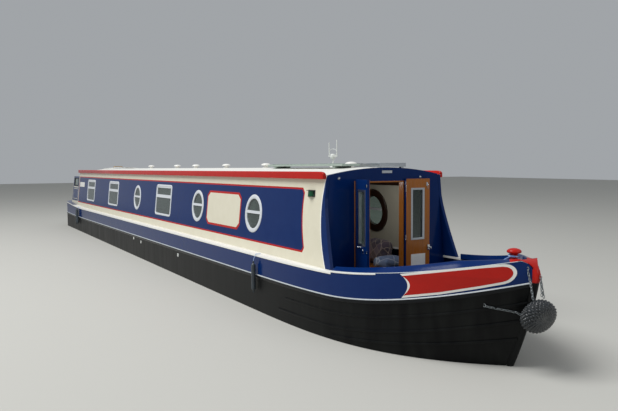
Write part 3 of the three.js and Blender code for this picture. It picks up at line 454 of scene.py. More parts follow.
def through(points, count):
    """A smooth line through the points: on each stretch the centripetal Catmull-Rom cubic of its four neighbours."""
    ends = np.concatenate([[2 * points[0] - points[1]], points, [2 * points[-1] - points[-2]]])
    knot = np.concatenate([[0], np.cumsum(np.linalg.norm(np.diff(ends, axis=0), axis=1) ** 0.5)])
    time = np.linspace(knot[1], knot[-2], count)
    k = np.clip(np.searchsorted(knot, time, side="right") - 1, 1, len(points) - 1)
    p = [ends[k + i] for i in (-1, 0, 1, 2)]
    t = [knot[k + i] for i in (-1, 0, 1, 2)]

    def mix(a, b, i, j):
        share = ((time - t[i]) / (t[j] - t[i]))[:, None]
        return a * (1 - share) + b * share

    first = [mix(p[i], p[i + 1], i, i + 1) for i in range(3)]
    second = [mix(first[0], first[1], 0, 2), mix(first[1], first[2], 1, 3)]
    line = mix(second[0], second[1], 1, 2)
    far = np.concatenate([[0], np.cumsum(np.linalg.norm(np.diff(line, axis=0), axis=1))])
    even = np.linspace(0, far[-1], count)
    return np.stack([np.interp(even, far, line[:, i]) for i in range(3)], axis=-1), far[-1]


def laid(line, radius, lay, sides=18, strands=3, depth=0.28):
    """Loops of a twisted rope: a round section with lobes, turned one turn for each lay of length along the line."""
    ahead = np.gradient(line, axis=0)
    ahead /= np.linalg.norm(ahead, axis=1, keepdims=True)
    aside = np.cross([0, 0, 1.0], ahead)
    aside /= np.linalg.norm(aside, axis=1, keepdims=True)
    above = np.cross(ahead, aside)
    gone = np.concatenate([[0], np.cumsum(np.linalg.norm(np.diff(line, axis=0), axis=1))])
    turn = np.linspace(0, 2 * np.pi, sides, endpoint=False)
    reach = radius * (1 - depth * (1 - np.abs(np.cos(turn * strands / 2))))
    angle = turn[None] + (2 * np.pi * gone / lay)[:, None]
    return (line[:, None] + (reach * np.cos(angle))[..., None] * aside[:, None]
            + (reach * np.sin(angle))[..., None] * above[:, None])


def rope_fibre(name, code, dark):
    """Polyester rope, spun: fine hairs along the yarn, about 1.5 mm apart, and grime between them."""
    material, tree, shader = finish_of(name, Roughness=0.72, Sheen_Weight=0.3, Sheen_Roughness=0.5)
    where = add(tree, "ShaderNodeTexCoord").outputs["Object"]
    yarn = add(tree, "ShaderNodeTexNoise", {"Vector": where, "Scale": 650.0, "Detail": 2.0})
    grime = add(tree, "ShaderNodeTexNoise", {"Vector": where, "Scale": 14.0, "Detail": 4.0})
    tone = add(tree, "ShaderNodeMix", {"Factor": grime.outputs["Fac"], "A": linear(dark), "B": linear(code)},
               data_type="RGBA")
    tree.links.new(tone.outputs["Result"], shader.inputs["Base Color"])
    bump = add(tree, "ShaderNodeBump", {"Height": yarn.outputs["Fac"], "Strength": 0.5, "Distance": 0.001})
    tree.links.new(bump.outputs["Normal"], shader.inputs["Normal"])
    return material


turning = np.radians(np.linspace(TURN_FROM, TURN_TO, 21))
turns = at(STUD_X + TURN_RADIUS * np.cos(turning), TURN_RADIUS * np.sin(turning),
           sheer(STUD_X) + np.linspace(TURN_HIGH, TURN_LOW, 21))
rope_points = np.concatenate([turns, at(ROPE_RUN[:, 0], ROPE_RUN[:, 1], sheer(ROPE_RUN[:, 0]) + ROPE_RUN[:, 2])])
ROPE_ROWS = 1000
rope_line, rope_length = through(rope_points, ROPE_ROWS)
rope_blue = rope_fibre("spun_polyester_blue", "7ea9de", "4d74b4")
rope_pale = rope_fibre("spun_polyester_pale", "bcd3f0", "86a4cf")
rope = make("bow_rope_laid", skin(laid(rope_line, ROPE_RADIUS, 0.062)), [rope_blue, rope_pale], slot="rope",
            instead_of=["bow_rope"], choice=np.tile(np.arange(18) // 6 == 1, ROPE_ROWS - 1).astype(int))
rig.cord(rope, exit=rope_line[0], length=rope_length, diameter=2 * ROPE_RADIUS, far_end="bare", stiffness="limp",
        lay="loose", path=rope_line)
print("rope", round(rope_length, 2), "m long")

# %% [markdown]
# ## The water's level and the light
# The boat floats, so the floor stands where the water would, at the waterline, a third of a degree out of level
# because the boat trims a little by the bow. It is plain and pale. The light is that of a bright overcast day: an
# even sky, one broad soft lamp high over the starboard side, a weaker one ahead of the bow, and a small one in
# the cabin for what shows through the front door.
# %% Floor and lamps
WATER_H, WATER_SLOPE = -0.7296, -0.0063
FLOOR_HALF = 60.0


def level_of_water(x):
    """The water's height over the gunwale, a straight line along the boat."""
    return WATER_H + WATER_SLOPE * x


side = np.array([-1.0, 1.0]) * FLOOR_HALF
floor_x, floor_y = np.meshgrid(side, side, indexing="ij")
floor_points = at(floor_x, floor_y, level_of_water(floor_x)).reshape(-1, 3)
floor = bpy.data.objects.new("floor", bpy.data.meshes.new("floor"))
floor.data.from_pydata(floor_points.tolist(), [], [(0, 2, 3, 1)])
pale, pale_tree, pale_shader = finish_of("matt_pale_floor", Roughness=0.9, Specular_IOR_Level=0.1)
pale_shader.inputs["Base Color"].default_value = linear("bdbcb6")
floor.data.materials.append(pale)
bpy.context.scene.collection.objects.link(floor)
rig.stage(floor)

world = bpy.data.worlds.new("overcast")
bpy.context.scene.world = world
world.use_nodes = True
world.node_tree.nodes["Background"].inputs["Color"].default_value = linear("e6ebf0")
world.node_tree.nodes["Background"].inputs["Strength"].default_value = 0.45
LAMPS = [
    # name, power in watts, size in metres, where it hangs, where it points
    ("high_lamp", 5000, 14.0, (-4.0, -11.5, 19.0), (-4.0, 0.0, 0.0)),
    ("bow_lamp", 90, 4.0, (9.0, 3.0, 5.0), (0.5, 0.0, 0.2)),
    ("cabin_lamp", 3, 0.3, (-0.45, -0.10, 0.93), (-0.65, 0.50, -0.10)),
]
for lamp_name, watts, size, place, target in LAMPS:
    lamp = bpy.data.objects.new(lamp_name, bpy.data.lights.new(lamp_name, "AREA"))
    lamp.data.energy, lamp.data.size = watts, size
    aim = Vector(at(*target)) - Vector(at(*place))
    lamp.matrix_world = Matrix.Translation(at(*place)) @ aim.to_track_quat("-Z", "Y").to_matrix().to_4x4()
    bpy.context.scene.collection.objects.link(lamp)
bpy.context.scene.view_settings.view_transform = "Standard"

# %% [markdown]
# ## Coach enamel
# Narrowboats are painted like old coaches, with glossy synthetic enamel laid on by brush over many coats. It is deep
# and smooth, with faint drag marks of the brush along the boat and a slight waviness that bends reflections. The
# same tree serves every colour. The scales are those of real brush marks, 3 mm apart, and of plate that waves over
# about 0.4 m between its welded frames.
# %% Enamel for hull and cabin
def brushed_enamel(tree, shader, where, gloss=0.13):
    """Links the brush drag, the plate's waves and a little dust in the gloss to an enamel's shader."""
    drag_map = add(tree, "ShaderNodeMapping", {"Vector": where, "Scale": (2.0, 160.0, 330.0)})
    drag = add(tree, "ShaderNodeTexNoise", {"Vector": drag_map.outputs["Vector"], "Scale": 1.0, "Detail": 2.0})
    wave = add(tree, "ShaderNodeTexNoise", {"Vector": where, "Scale": 2.4, "Detail": 1.0})
    dust = add(tree, "ShaderNodeTexNoise", {"Vector": where, "Scale": 7.0, "Detail": 5.0, "Roughness": 0.6})
    shine = add(tree, "ShaderNodeMapRange", {"Value": dust.outputs["Fac"], "To Min": gloss - 0.05,
                                             "To Max": gloss + 0.09})
    tree.links.new(shine.outputs["Result"], shader.inputs["Roughness"])
    waves = add(tree, "ShaderNodeBump", {"Height": wave.outputs["Fac"], "Strength": 0.35, "Distance": 0.006})
    marks = add(tree, "ShaderNodeBump", {"Height": drag.outputs["Fac"], "Strength": 0.06, "Distance": 0.001,
                                         "Normal": waves.outputs["Normal"]})
    tree.links.new(marks.outputs["Normal"], shader.inputs["Normal"])
    return dust


def enamel(name, code, worn, gloss=0.13, specular=0.5):
    """Brushed coach enamel of one colour, with a slightly different tone where it has weathered."""
    material, tree, shader = finish_of(name, IOR=1.5, Specular_IOR_Level=specular)
    where = add(tree, "ShaderNodeTexCoord").outputs["Object"]
    dust = brushed_enamel(tree, shader, where, gloss)
    tone = add(tree, "ShaderNodeMix", data_type="RGBA")
    tree.links.new(dust.outputs["Fac"], tone.inputs["Factor"])
    tone.inputs["A"].default_value, tone.inputs["B"].default_value = linear(code), linear(worn)
    tree.links.new(tone.outputs["Result"], shader.inputs["Base Color"])
    return material


NAVY, NAVY_WORN = "06245a", "0b2b62"
CREAM, CREAM_WORN = "e2ddc9", "d6d0ba"
RED, RED_WORN = "bd1f17", "a61c14"
navy = enamel("navy_coach_enamel", NAVY, NAVY_WORN, specular=0.16)
cream = enamel("cream_coach_enamel", CREAM, CREAM_WORN, 0.2)
red = enamel("signal_red_coach_enamel", RED, RED_WORN, 0.2, specular=0.2)
white = enamel("white_coach_enamel", "f2f1ec", "e2e1da", 0.22)

# %% [markdown]
# ## Blacking
# Below the rubbing strake the steel is blacked with bitumen, rolled on each few years. It dries to a satin black that
# is never even: it greys where water and dust have dried on it and is scraped by locks and banks. Long faint streaks
# run down, and the roller leaves a fine orange peel of about 4 mm.
# %% Bitumen for the lower hull
def bitumen(name):
    """Satin bitumen: black with grey water marks, streaks drawn out downwards and a rolled texture."""
    material, tree, shader = finish_of(name, IOR=1.5, Specular_IOR_Level=0.14)
    where = add(tree, "ShaderNodeTexCoord").outputs["Object"]
    drawn = add(tree, "ShaderNodeMapping", {"Vector": where, "Scale": (9.0, 9.0, 1.2)})
    streak = add(tree, "ShaderNodeTexNoise", {"Vector": drawn.outputs["Vector"], "Scale": 1.0, "Detail": 5.0})
    ramp = add(tree, "ShaderNodeValToRGB", {"Fac": streak.outputs["Fac"]})
    ramp.color_ramp.elements[0].position, ramp.color_ramp.elements[0].color = 0.35, linear("050608")
    ramp.color_ramp.elements[1].position, ramp.color_ramp.elements[1].color = 0.75, linear("181a19")
    tree.links.new(ramp.outputs["Color"], shader.inputs["Base Color"])
    peel = add(tree, "ShaderNodeTexNoise", {"Vector": where, "Scale": 240.0, "Detail": 2.0})
    patch = add(tree, "ShaderNodeMapRange", {"Value": streak.outputs["Fac"], "To Min": 0.28, "To Max": 0.55})
    tree.links.new(patch.outputs["Result"], shader.inputs["Roughness"])
    bump = add(tree, "ShaderNodeBump", {"Height": peel.outputs["Fac"], "Strength": 0.15, "Distance": 0.001})
    tree.links.new(bump.outputs["Normal"], shader.inputs["Normal"])
    return material


black = bitumen("bitumen_blacking")

# %% [markdown]
# ## The hull sides
# Each side is one long plate welded from stern to stem, drawn here as a slab between an outer and an inner surface.
# Its rows follow the lines that the eye sees: the chine, the rubbing strake, where the navy enamel meets the black,
# and the top edge. Both surfaces come from the hull's formulas, so the bow flares and bends without facets.
# %% Plate the two sides
WALL = 0.040
SWIM_START = -11.6
stern_x = np.array([COUNTER_START, -14.15, -14.0, -13.85, -13.7, -13.55, CABIN_AFT - 0.0005, CABIN_AFT + 0.0005,
                    -13.2, -13.0, -12.8, -12.6, -12.4, -12.2, -12.0, SWIM_START - 0.0005, SWIM_START + 0.0005,
                    -9.0, -6.0, -3.0, BOW_START])
bends = np.concatenate([np.linspace(math.radians(2), CHANGE, 9), np.linspace(CHANGE + 0.002, LAST_BEND, 64)])
all_bends = np.concatenate([np.zeros(len(stern_x)), bends])
station_x = np.concatenate([stern_x, np.full(len(bends), np.nan)])


def side_top(bend, x):
    """The top of the side plate: just under the gunwale's plate aft, and at the sheer on the bow."""
    aft = stern_lift(np.nan_to_num(x)) - np.where(np.nan_to_num(x) < CABIN_AFT, 0.0263, 0.013)
    return np.where(bend > CHANGE, bow_top(bend), aft)


def side_rows():
    """Heights of the rows of the side plate at each station, between the bottom, chine, strake and top."""
    x = np.where(np.isnan(station_x), bow(all_bends, 0.0)[0], station_x)
    low = np.where(x < SWIM_START, UXTER + PLATE + 0.0003, BASE_THICK + 0.0003 - DECK)
    keys = [low, np.maximum(low + 0.001, -0.6), guard_line(x) - 0.025, side_top(all_bends, station_x)]
    shares = np.concatenate([np.linspace(0, 1, 3)[:-1], 1 + np.linspace(0, 1, 7)[:-1], 2 + np.linspace(0, 1, 9)])
    return np.stack([np.interp(shares, [0, 1, 2, 3], column) for column in np.stack(keys, axis=-1)])


rows = side_rows()


def hull_surface(inset):
    """The side plate's surface at this inset: straight aft of the bow, then the bow's curve, at each row."""
    x, y = bow(all_bends[:, None], rows, inset)
    straight = ~np.isnan(station_x)[:, None]
    return np.where(straight, np.nan_to_num(station_x)[:, None], x), np.where(straight, breadth(rows) - inset, y)


for side_name, way in (("port", 1), ("starboard", -1)):
    (xo, yo), (xi, yi) = hull_surface(0.0), hull_surface(WALL)
    mesh = slab(at(xo, way * yo, rows), at(xi, way * yi, rows))
    black_row = (np.arange(rows.shape[1] - 1) < 8).astype(int)
    make(f"side_plate_{side_name}", mesh, [navy, black], slot="navy", instead_of=[f"hull_side_{side_name}"],
         choice=np.tile(black_row, len(all_bends) - 1))
print("side plates of", 2 * 2 * rows.size, "faces")

# %% [markdown]
# ## Gunwale, strakes and edges
# The gunwale is a flat steel plate that stands 4 mm outside the hull and is painted white along its edge, so that it
# shows in the dark of a tunnel. The rubbing strake below it is a heavy half-round bar that takes the knocks in locks.
# Three lighter bars guard the bow. Each is a small profile carried along the hull's own line. The rubbing strake's
# upper faces are painted pale grey, a painted highlight for the light that its rounded top catches.
# %% Bars along the hull
def hull_line(inset, h_of, start, end, count=70):
    """Points along the port side at this inset: round the counter, along the side, round the bow to the stem."""
    angle = np.linspace(np.pi / 2, 0, 24, endpoint=False)
    reach = COUNTER_START - STERN_TIP - inset
    round_x, round_y = COUNTER_START - reach * np.sin(angle), (HALF_BEAM - inset) * np.cos(angle)
    straight = np.arange(COUNTER_START, BOW_START, 0.2)
    bend = np.linspace(0, LAST_BEND, count)
    x0 = bow(bend, 0.0)[0]
    bow_x, bow_y = bow(bend, h_of(x0), inset)
    x = np.concatenate([round_x, straight, bow_x])
    y = np.concatenate([round_y, np.full(len(straight), HALF_BEAM - inset), bow_y])
    keep = (x >= start) & (x <= end)
    return x[keep], y[keep], h_of(np.concatenate([round_x, straight, x0]))[keep]


def bar(profile, h_of, start=-99.0, end=99.0):
    """Loops of a bar: each point of the profile is an inset from the plate and a drop below the bar's line."""
    lines = [hull_line(inset, h_of, -99.0, 99.0) for inset, _ in profile]
    keep = (lines[0][0] >= start) & (lines[0][0] <= end)
    return np.stack([at(x, y, h - drop)[keep] for (x, y, h), (_, drop) in zip(lines, profile)], axis=1)


def both_sides(name, loops, material, **how):
    """The port bar, and the same loops mirrored for starboard."""
    for side_name, way in (("port", 1), ("starboard", -1)):
        given = {k: ([f"{v}_{side_name}"] if k == "instead_of" else v) for k, v in how.items()}
        make(f"{name}_{side_name}", skin(loops * (1, way, 1)), material, **given)


satin_black = enamel("black_coach_enamel", "0c0d10", "1b1d20", 0.22, specular=0.15)
# pale grey paint as a painted highlight: the light on the strake's rounded top and on the cant's rolled corner
painted_highlight_paint = enamel("rubbed_grey_paint", "ccd1d4", "9ba2a6", 0.35)
half_round = [(-0.0005, 0.0), (-0.006, 0.0008), (-0.0095, 0.004), (-0.0115, 0.011), (-0.0128, 0.025),
              (-0.0115, 0.039), (-0.0095, 0.046), (-0.006, 0.0492), (-0.0005, 0.050)]
strake = bar(half_round, guard_line)
strake[0, :, 1] = 0.0006
# the strake's three upper faces carry the painted highlight
strake_highlight_faces = np.isin(np.arange(len(half_round)), [0, 1, 2]).astype(int)
both_sides("rubbing_strake", strake, [satin_black, painted_highlight_paint], slot="hull_black", instead_of="guard",
           choice=np.tile(strake_highlight_faces, len(strake) - 1))

thin_round = [(-0.0005, 0.0), (-0.006, 0.002), (-0.009, 0.010), (-0.009, 0.018), (-0.006, 0.025), (-0.0005, 0.027)]
BOW_BARS = [
    # name, height aft of the bend, rise, where it starts
    ("bow_strake_upper", -0.415, 0.088, -0.69),
    ("bow_strake_middle", -0.567, 0.084, -0.74),
    ("bow_strake_lower", -0.665, 0.060, 0.25),
]
for bar_name, base, rise, start in BOW_BARS:
    loops = bar(thin_round, lambda x, b=base, r=rise: b + r * np.maximum(0, x - 0.2) ** 2, start=start)
    both_sides(bar_name, loops, black, slot="hull_black")

# %% The gunwale's plate and the white line on the bow
EDGE = 0.026
CABIN_FOOT, LEAN = 0.922, 0.1007
inner_y = CABIN_FOOT - 0.040
gunwale_x = np.concatenate([np.arange(CABIN_AFT, BOW_START, 0.11), [BOW_START]])
rim_bend = np.linspace(0, CHANGE, 16)[1:]
rim_x, rim_y = bow(rim_bend, 0.0, -LIP)
gx = np.concatenate([gunwale_x, rim_x])
gy = np.concatenate([np.full(len(gunwale_x), HALF_BEAM + LIP), rim_y])
edge = [(0.0, EDGE), (0.0, 0.006), (0.0015, 0.002), (0.005, 0.0)]
gunwale_loops = np.stack([at(gx, gy - inset, stern_lift(gx) - drop) for inset, drop in edge]
                         + [at(gx, inner_y, stern_lift(gx)), at(gx, inner_y, stern_lift(gx) - EDGE)], axis=1)
both_sides("gunwale_plate", gunwale_loops, white, slot="white")

line_bend = np.linspace(CHANGE, float(bend_at(0.9)), 24)
line_points = []
for inset, drop in [(-0.0004, 0.016), (-0.004, 0.014), (-0.005, 0.007), (-0.004, 0.001), (-0.0004, -0.001)]:
    line_x, line_y = bow(line_bend, 0.0, inset)
    line_points.append(at(line_x, line_y, bow_top(line_bend) - drop))
both_sides("white_edge_bow", np.stack(line_points, axis=1), white, slot="white")
print("strake", len(strake), "stations, gunwale", len(gunwale_loops))

# %% [markdown]
# ## The bow's edge and deck
# Where the side meets the foredeck a raised strip runs round the bow, the cant, which keeps ropes and feet aboard.
# Its outer corner is rolled, and painted pale as one thin bright line, a painted highlight. The foredeck's plate
# follows the sheer.
# The stem, the upright bar that both sides are welded to, is painted red where it stands over the strake.
# %% Cants, foredeck and stem
cant_bend = np.linspace(CHANGE + 0.002, NOSE_BEND, 70)
cant_x = bow(cant_bend, 0.0)[0]
cant_top = bow_top(cant_bend)
cant_rise = 0.006 + (0.028 + 0.020 * cant_x) * np.clip((2.06 - cant_x) / 0.45, 0, 1)
INSIDE = 0.086
CANT_PROFILE = [
    # inset, share of the rise, fixed height over the side's top
    (0.0000, 0.0, 0.0004), (0.0008, 0.0, 0.0035), (0.0030, 0.0, 0.0058), (0.0080, 0.08, 0.0050),
    (0.0300, 0.42, 0.0025), (0.0600, 0.88, 0.0005), (0.0680, 0.97, 0.0), (0.0740, 1.0, 0.0), (0.0835, 1.0, 0.0),
    (0.0860, 0.93, 0.0), (0.0860, 0.0, -0.020), (0.0500, 0.0, -0.020), (0.0500, 0.0, 0.0004),
]
cant_loops = []
for inset, share, fixed in CANT_PROFILE:
    x, y = bow(cant_bend, cant_top, inset)
    cant_loops.append(at(x, y, cant_top + share * cant_rise + fixed))
# the rolled corner's two faces carry the painted highlight
cant_highlight_faces = np.isin(np.arange(len(CANT_PROFILE)), [0, 1]).astype(int)
RED_FROM = 1.97  # ahead of here the deck and its edges are red
cant_paint = np.where(cant_highlight_faces == 1, 1, np.where(cant_x[1:, None] > RED_FROM, 2, 0))
both_sides("bow_cant", np.stack(cant_loops, axis=1), [navy, painted_highlight_paint, red], slot="navy", instead_of="cant",
           choice=cant_paint.ravel())

deck_bend = cant_bend[cant_x > 1.145]
deck_x, deck_y = bow(deck_bend, bow_top(deck_bend), INSIDE + 0.002)
deck_h = np.minimum(sheer(deck_x), bow_top(deck_bend) + 0.004)
span = np.linspace(-1, 1, 15)
deck_grid = at(deck_x[:, None], deck_y[:, None] * span, deck_h[:, None])
make("foredeck_plate", slab(deck_grid, deck_grid - (0, 0, PLATE)), [navy, red], slot="navy",
     instead_of=["foredeck"], choice=np.repeat((deck_x[1:] > RED_FROM - 0.12).astype(int), len(span) - 1))

STEM_NOSE = [
    # height, front, and back where the bar laps over the sides' tops at the nose
    (0.040, 2.1380, 0), (0.072, 2.146, 0), (0.097, 2.162, 0), (0.135, 2.163, 0), (0.184, 2.148, 0),
    (0.201, 2.136, 2.112), (0.210, 2.128, 2.107), (0.222, 2.116, 2.100), (0.238, 2.098, 2.089),
    (0.252, 2.078, 2.067), (0.260, 2.060, 2.053), (0.265, 2.049, 2.043), (0.2655, 2.048, 2.022),
    (0.268, 2.042, 2.0225), (0.270, 2.034, 2.024),
]
stem_h = np.concatenate([np.linspace(-1.1877, -0.2, 10), np.linspace(-0.14, 0.03, 6), np.array(STEM_NOSE)[:, 0]])
nose_h, nose_x, lap = np.array(STEM_NOSE).T
stem_front = np.where(stem_h < 0.04, stem_x(stem_h) + 0.012, np.interp(stem_h, nose_h, nose_x))
lap = np.concatenate([np.zeros(len(stem_h) - len(lap)), lap])[:, None]
stem_bend = np.full_like(stem_h, LAST_BEND)
outer_x, outer_y = bow(stem_bend, stem_h)
inner_x, inner_side = bow(stem_bend, stem_h, WALL)
along = ((lap - BOW_START) / (stem_x(stem_h)[:, None] - BOW_START)) ** BOW_POWER
wide = np.where(lap > 0, HALF_BEAM * (1 - along), outer_y[:, None]) - 0.001
root_x = np.where(lap > 0, lap + [0, 0.002], np.stack([inner_x, outer_x], axis=1))
root_y = np.where(lap > 0, wide - [0.004, 0.001], np.concatenate([inner_side[:, None] / 2, wide], axis=1))
arc = np.linspace(0, np.pi / 2, 7)[1:]
half_x = np.concatenate([root_x, root_x[:, 1:] + (stem_front[:, None] - root_x[:, 1:]) * np.sin(arc)], axis=1)
half_y = np.concatenate([root_y, wide * np.cos(arc) ** 0.5], axis=1)
half_y[:, -1] = 0.0
stem_loops = at(np.concatenate([half_x, half_x[:, -2::-1]], axis=1),
                np.concatenate([half_y, -half_y[:, -2::-1]], axis=1), stem_h[:, None])
red_rows = (stem_h[:-1] > 0.05).astype(int)
make("stem_bar", skin(stem_loops), [black, red], slot="red", instead_of=["stem_post"],
     choice=np.repeat(red_rows, stem_loops.shape[1]))
print("foredeck", len(deck_x), "rows, stem", len(stem_h), "sections")

# %% [markdown]
# ## The stern
# Behind the cabin the side rounds into the counter, the overhanging stern that keeps the propeller covered. Its upper
# part is navy and its lower part black, like the sides, and the deck's edge carries the white line on round it.
# %% Counter and aft deck
counter_turn = np.linspace(0, np.pi, 73)


def counter(turn, inset):
    """x and y of the round stern: half an ellipse behind the straight sides."""
    reach = COUNTER_START - STERN_TIP - inset
    return COUNTER_START - reach * np.sin(turn), (HALF_BEAM - inset) * np.cos(turn)


cx, cy = counter(counter_turn, 0.0)
ix, iy = counter(counter_turn, WALL)
mark = guard_line(cx) - 0.025
shares = np.concatenate([np.linspace(0, 1, 6)[:-1], np.linspace(1, 2, 7)])
low = UXTER + PLATE + 0.0003


def counter_rows(x):
    """Heights of the rows: the foot of the counter, the strake, and the deck's underside."""
    keys = np.stack([np.full_like(x, low), guard_line(x) - 0.025, stern_lift(x) - EDGE - 0.0003])
    return np.stack([np.interp(shares, [0, 1, 2], keys[:, i]) for i in range(len(x))])


shift = 0.0003
outer_grid = at(cx[:, None] - shift, cy[:, None], counter_rows(cx))
inner_grid = at(ix[:, None] - shift, iy[:, None], counter_rows(ix))
make("counter_plate", slab(outer_grid, inner_grid), [navy, black], slot="hull_black", instead_of=["counter_side"],
     choice=np.tile((np.arange(len(shares) - 1) < 5).astype(int), len(cx) - 1))

turn_aft = np.radians(np.concatenate([[89.0], np.linspace(86, 2, 40)]))
tip_x, tip_y = counter(turn_aft, -LIP)
well_x = np.array([CABIN_AFT - 0.0005, -13.3, -13.1, -12.9, -12.7, -12.5, ROOF_AFT - 0.001])
wide_x = np.array([COUNTER_START, -14.1, -13.9, -13.7, -13.5, CABIN_AFT - 0.001])
plate_x = np.concatenate([tip_x, wide_x, well_x])
plate_y = np.concatenate([tip_y, np.full(len(wide_x), HALF_BEAM + LIP), np.full(len(well_x), inner_y - 0.0003)])
aft_grid = at(plate_x[:, None], plate_y[:, None] * np.linspace(-1, 1, 9), stern_lift(plate_x)[:, None])
aft_mesh = slab(aft_grid, aft_grid - (0, 0, EDGE))
top_faces = 2 * len(aft_mesh[1][0])
make("aft_deck_plate", aft_mesh, [navy, white], slot="navy", instead_of=["aft_deck"],
     choice=np.r_[np.zeros(top_faces, int), np.ones(len(aft_mesh[1][2]), int)], bevel=0.003)
print("counter", outer_grid.shape[:2], "aft deck", aft_grid.shape[:2])

# %% [markdown]
# ## The painted cabin sides
# The cabin side is one flat leaning sheet, so its plain solid stays, and only its finish is made here. It is painted
# like a coach: a navy panel edged with a red line, a cream border, and a navy front part behind a curved white line.
# The panel is measured as a signed distance in the sheet: how far a point lies outside its nearest edge. Where the
# distance is negative the paint is navy, and near zero it is the red line. Small cut corners are one more edge. The
# inner face is the cabin's lining.
# %% Paint for the cabin sides
PANEL_LOW, PANEL_HIGH = 0.130, 0.848
PANEL_AFT = -13.36
PANEL_BACK = 0.400  # the panel's front end stands this far behind the curved white line
LINE_WIDE = 0.011  # half the red line


def cabin_y(h):
    """Half the cabin's breadth: the sides lean in by a tenth of their height."""
    return CABIN_FOOT - LEAN * h


def cabin_paint():
    """Coach enamel whose colour follows the distance from the painted panel's edges; lining paint inside."""
    material, tree, shader = finish_of("lined_out_coach_enamel", IOR=1.5, Specular_IOR_Level=0.16)
    where = add(tree, "ShaderNodeTexCoord").outputs["Object"]

    def sum_of(kind, a, b=0.0, c=0.0):
        return add(tree, "ShaderNodeMath", {0: a, 1: b, 2: c}, operation=kind).outputs[0]

    place = add(tree, "ShaderNodeSeparateXYZ", {0: where}).outputs
    x, h = sum_of("SUBTRACT", place["X"], FRONT), sum_of("SUBTRACT", place["Z"], DECK)
    # the curved line between cream and navy at the front: a square of the height
    curve = sum_of("MULTIPLY_ADD", sum_of("MULTIPLY_ADD", h, 0.4243, -0.5392), h, 0.1094)
    ahead_of = sum_of("SUBTRACT", x, curve)
    middle = (PANEL_LOW + PANEL_HIGH) / 2
    from_middle = sum_of("ABSOLUTE", sum_of("SUBTRACT", h, middle))
    up_down = sum_of("SUBTRACT", from_middle, (PANEL_HIGH - PANEL_LOW) / 2)
    front = sum_of("ADD", ahead_of, PANEL_BACK)
    aft = sum_of("SUBTRACT", PANEL_AFT, x)
    corner = sum_of("MULTIPLY", sum_of("ADD", sum_of("ADD", front, up_down), 0.050), 0.7)
    away = sum_of("MAXIMUM", sum_of("MAXIMUM", up_down, front), sum_of("MAXIMUM", aft, corner))
    in_panel = sum_of("LESS_THAN", away, 0.0)
    on_line = sum_of("LESS_THAN", sum_of("ABSOLUTE", away), LINE_WIDE)
    in_front = sum_of("GREATER_THAN", ahead_of, 0.0)
    on_curve = sum_of("LESS_THAN", sum_of("ABSOLUTE", ahead_of), 0.009)
    depth = sum_of("SUBTRACT", CABIN_FOOT, sum_of("MULTIPLY_ADD", h, LEAN, sum_of("ABSOLUTE", place["Y"])))
    inside = sum_of("MULTIPLY", sum_of("GREATER_THAN", depth, 0.030), sum_of("LESS_THAN", x, -0.038))
    wing = sum_of("MULTIPLY", sum_of("GREATER_THAN", depth, 0.004), sum_of("GREATER_THAN", x, -0.038))

    dust = brushed_enamel(tree, shader, where)
    colour = None
    for mask, fresh, worn in [(None, CREAM, CREAM_WORN), (in_panel, NAVY, NAVY_WORN), (on_line, RED, RED_WORN),
                              (in_front, NAVY, NAVY_WORN), (on_curve, "f4f3ee", "e6e5de"),
                              (inside, "c9c4b2", "b9b4a2"), (wing, NAVY, NAVY_WORN)]:
        tone = add(tree, "ShaderNodeMix", {"Factor": dust.outputs["Fac"], "A": linear(fresh), "B": linear(worn)},
                   data_type="RGBA").outputs["Result"]
        colour = tone if mask is None else add(
            tree, "ShaderNodeMix", {"Factor": mask, "A": colour, "B": tone}, data_type="RGBA").outputs["Result"]
    tree.links.new(colour, shader.inputs["Base Color"])
    return material


def refinish(names, material):
    """Gives plain solids of the model a finish in their own material slots."""
    for name in names:
        for slot_of in nodes[name].material_slots:
            slot_of.material = material


cabin_enamel = cabin_paint()
refinish(["cabin_side_port", "cabin_side_starboard"], cabin_enamel)
print("panel", PANEL_LOW, "to", PANEL_HIGH, "m over the gunwale")

# %% [markdown]
# ## The roof
# The roof is one arched sheet, white so that the cabin stays cool, with sand in the paint where people walk. An arch
# this flat is a square law: the height falls with the square of the distance from the middle. The opening under the
# sliding hatch is left out of the sheet, so the roof is three slabs in one mesh.
# %% Arch the roof
EAVES, CAMBER = 0.999, 0.088
ROOF_HALF = float(cabin_y(EAVES)) + 0.002
HATCH_HALF, HATCH_FORE = 0.360, ROOF_AFT + 0.85


def roof_h(y):
    """The roof's height over the gunwale: a square law across."""
    return EAVES + 0.0003 + CAMBER * (1 - (np.asarray(y, float) / ROOF_HALF) ** 2)


def roof_slab(x0, x1, y0, y1):
    """A part of the arched sheet, 40 mm thick, thinner at the eaves."""
    y = np.linspace(y0, y1, 41)
    x = np.linspace(x0, x1, 3)[:, None]
    thick = 0.040 - 0.030 * np.clip((np.abs(y) - ROOF_HALF + 0.05) / 0.05, 0, 1)
    return slab(at(x, y, roof_h(y)), at(x, y, roof_h(y) - thick))


def sanded_paint():
    """White semi-gloss roof paint with sand in it, grains about 2 mm apart, and rain marks."""
    material, tree, shader = finish_of("sanded_white_roof_paint", IOR=1.5)
    where = add(tree, "ShaderNodeTexCoord").outputs["Object"]
    grit = add(tree, "ShaderNodeTexNoise", {"Vector": where, "Scale": 420.0, "Detail": 2.0})
    rain = add(tree, "ShaderNodeTexNoise", {"Vector": where, "Scale": 3.0, "Detail": 6.0, "Roughness": 0.65})
    tone = add(tree, "ShaderNodeMix", {"Factor": rain.outputs["Fac"], "A": linear("f4f3ee"), "B": linear("dfded6")},
               data_type="RGBA")
    tree.links.new(tone.outputs["Result"], shader.inputs["Base Color"])
    shine = add(tree, "ShaderNodeMapRange", {"Value": rain.outputs["Fac"], "To Min": 0.3, "To Max": 0.5})
    tree.links.new(shine.outputs["Result"], shader.inputs["Roughness"])
    bump = add(tree, "ShaderNodeBump", {"Height": grit.outputs["Fac"], "Strength": 0.25, "Distance": 0.0008})
    tree.links.new(bump.outputs["Normal"], shader.inputs["Normal"])
    return material


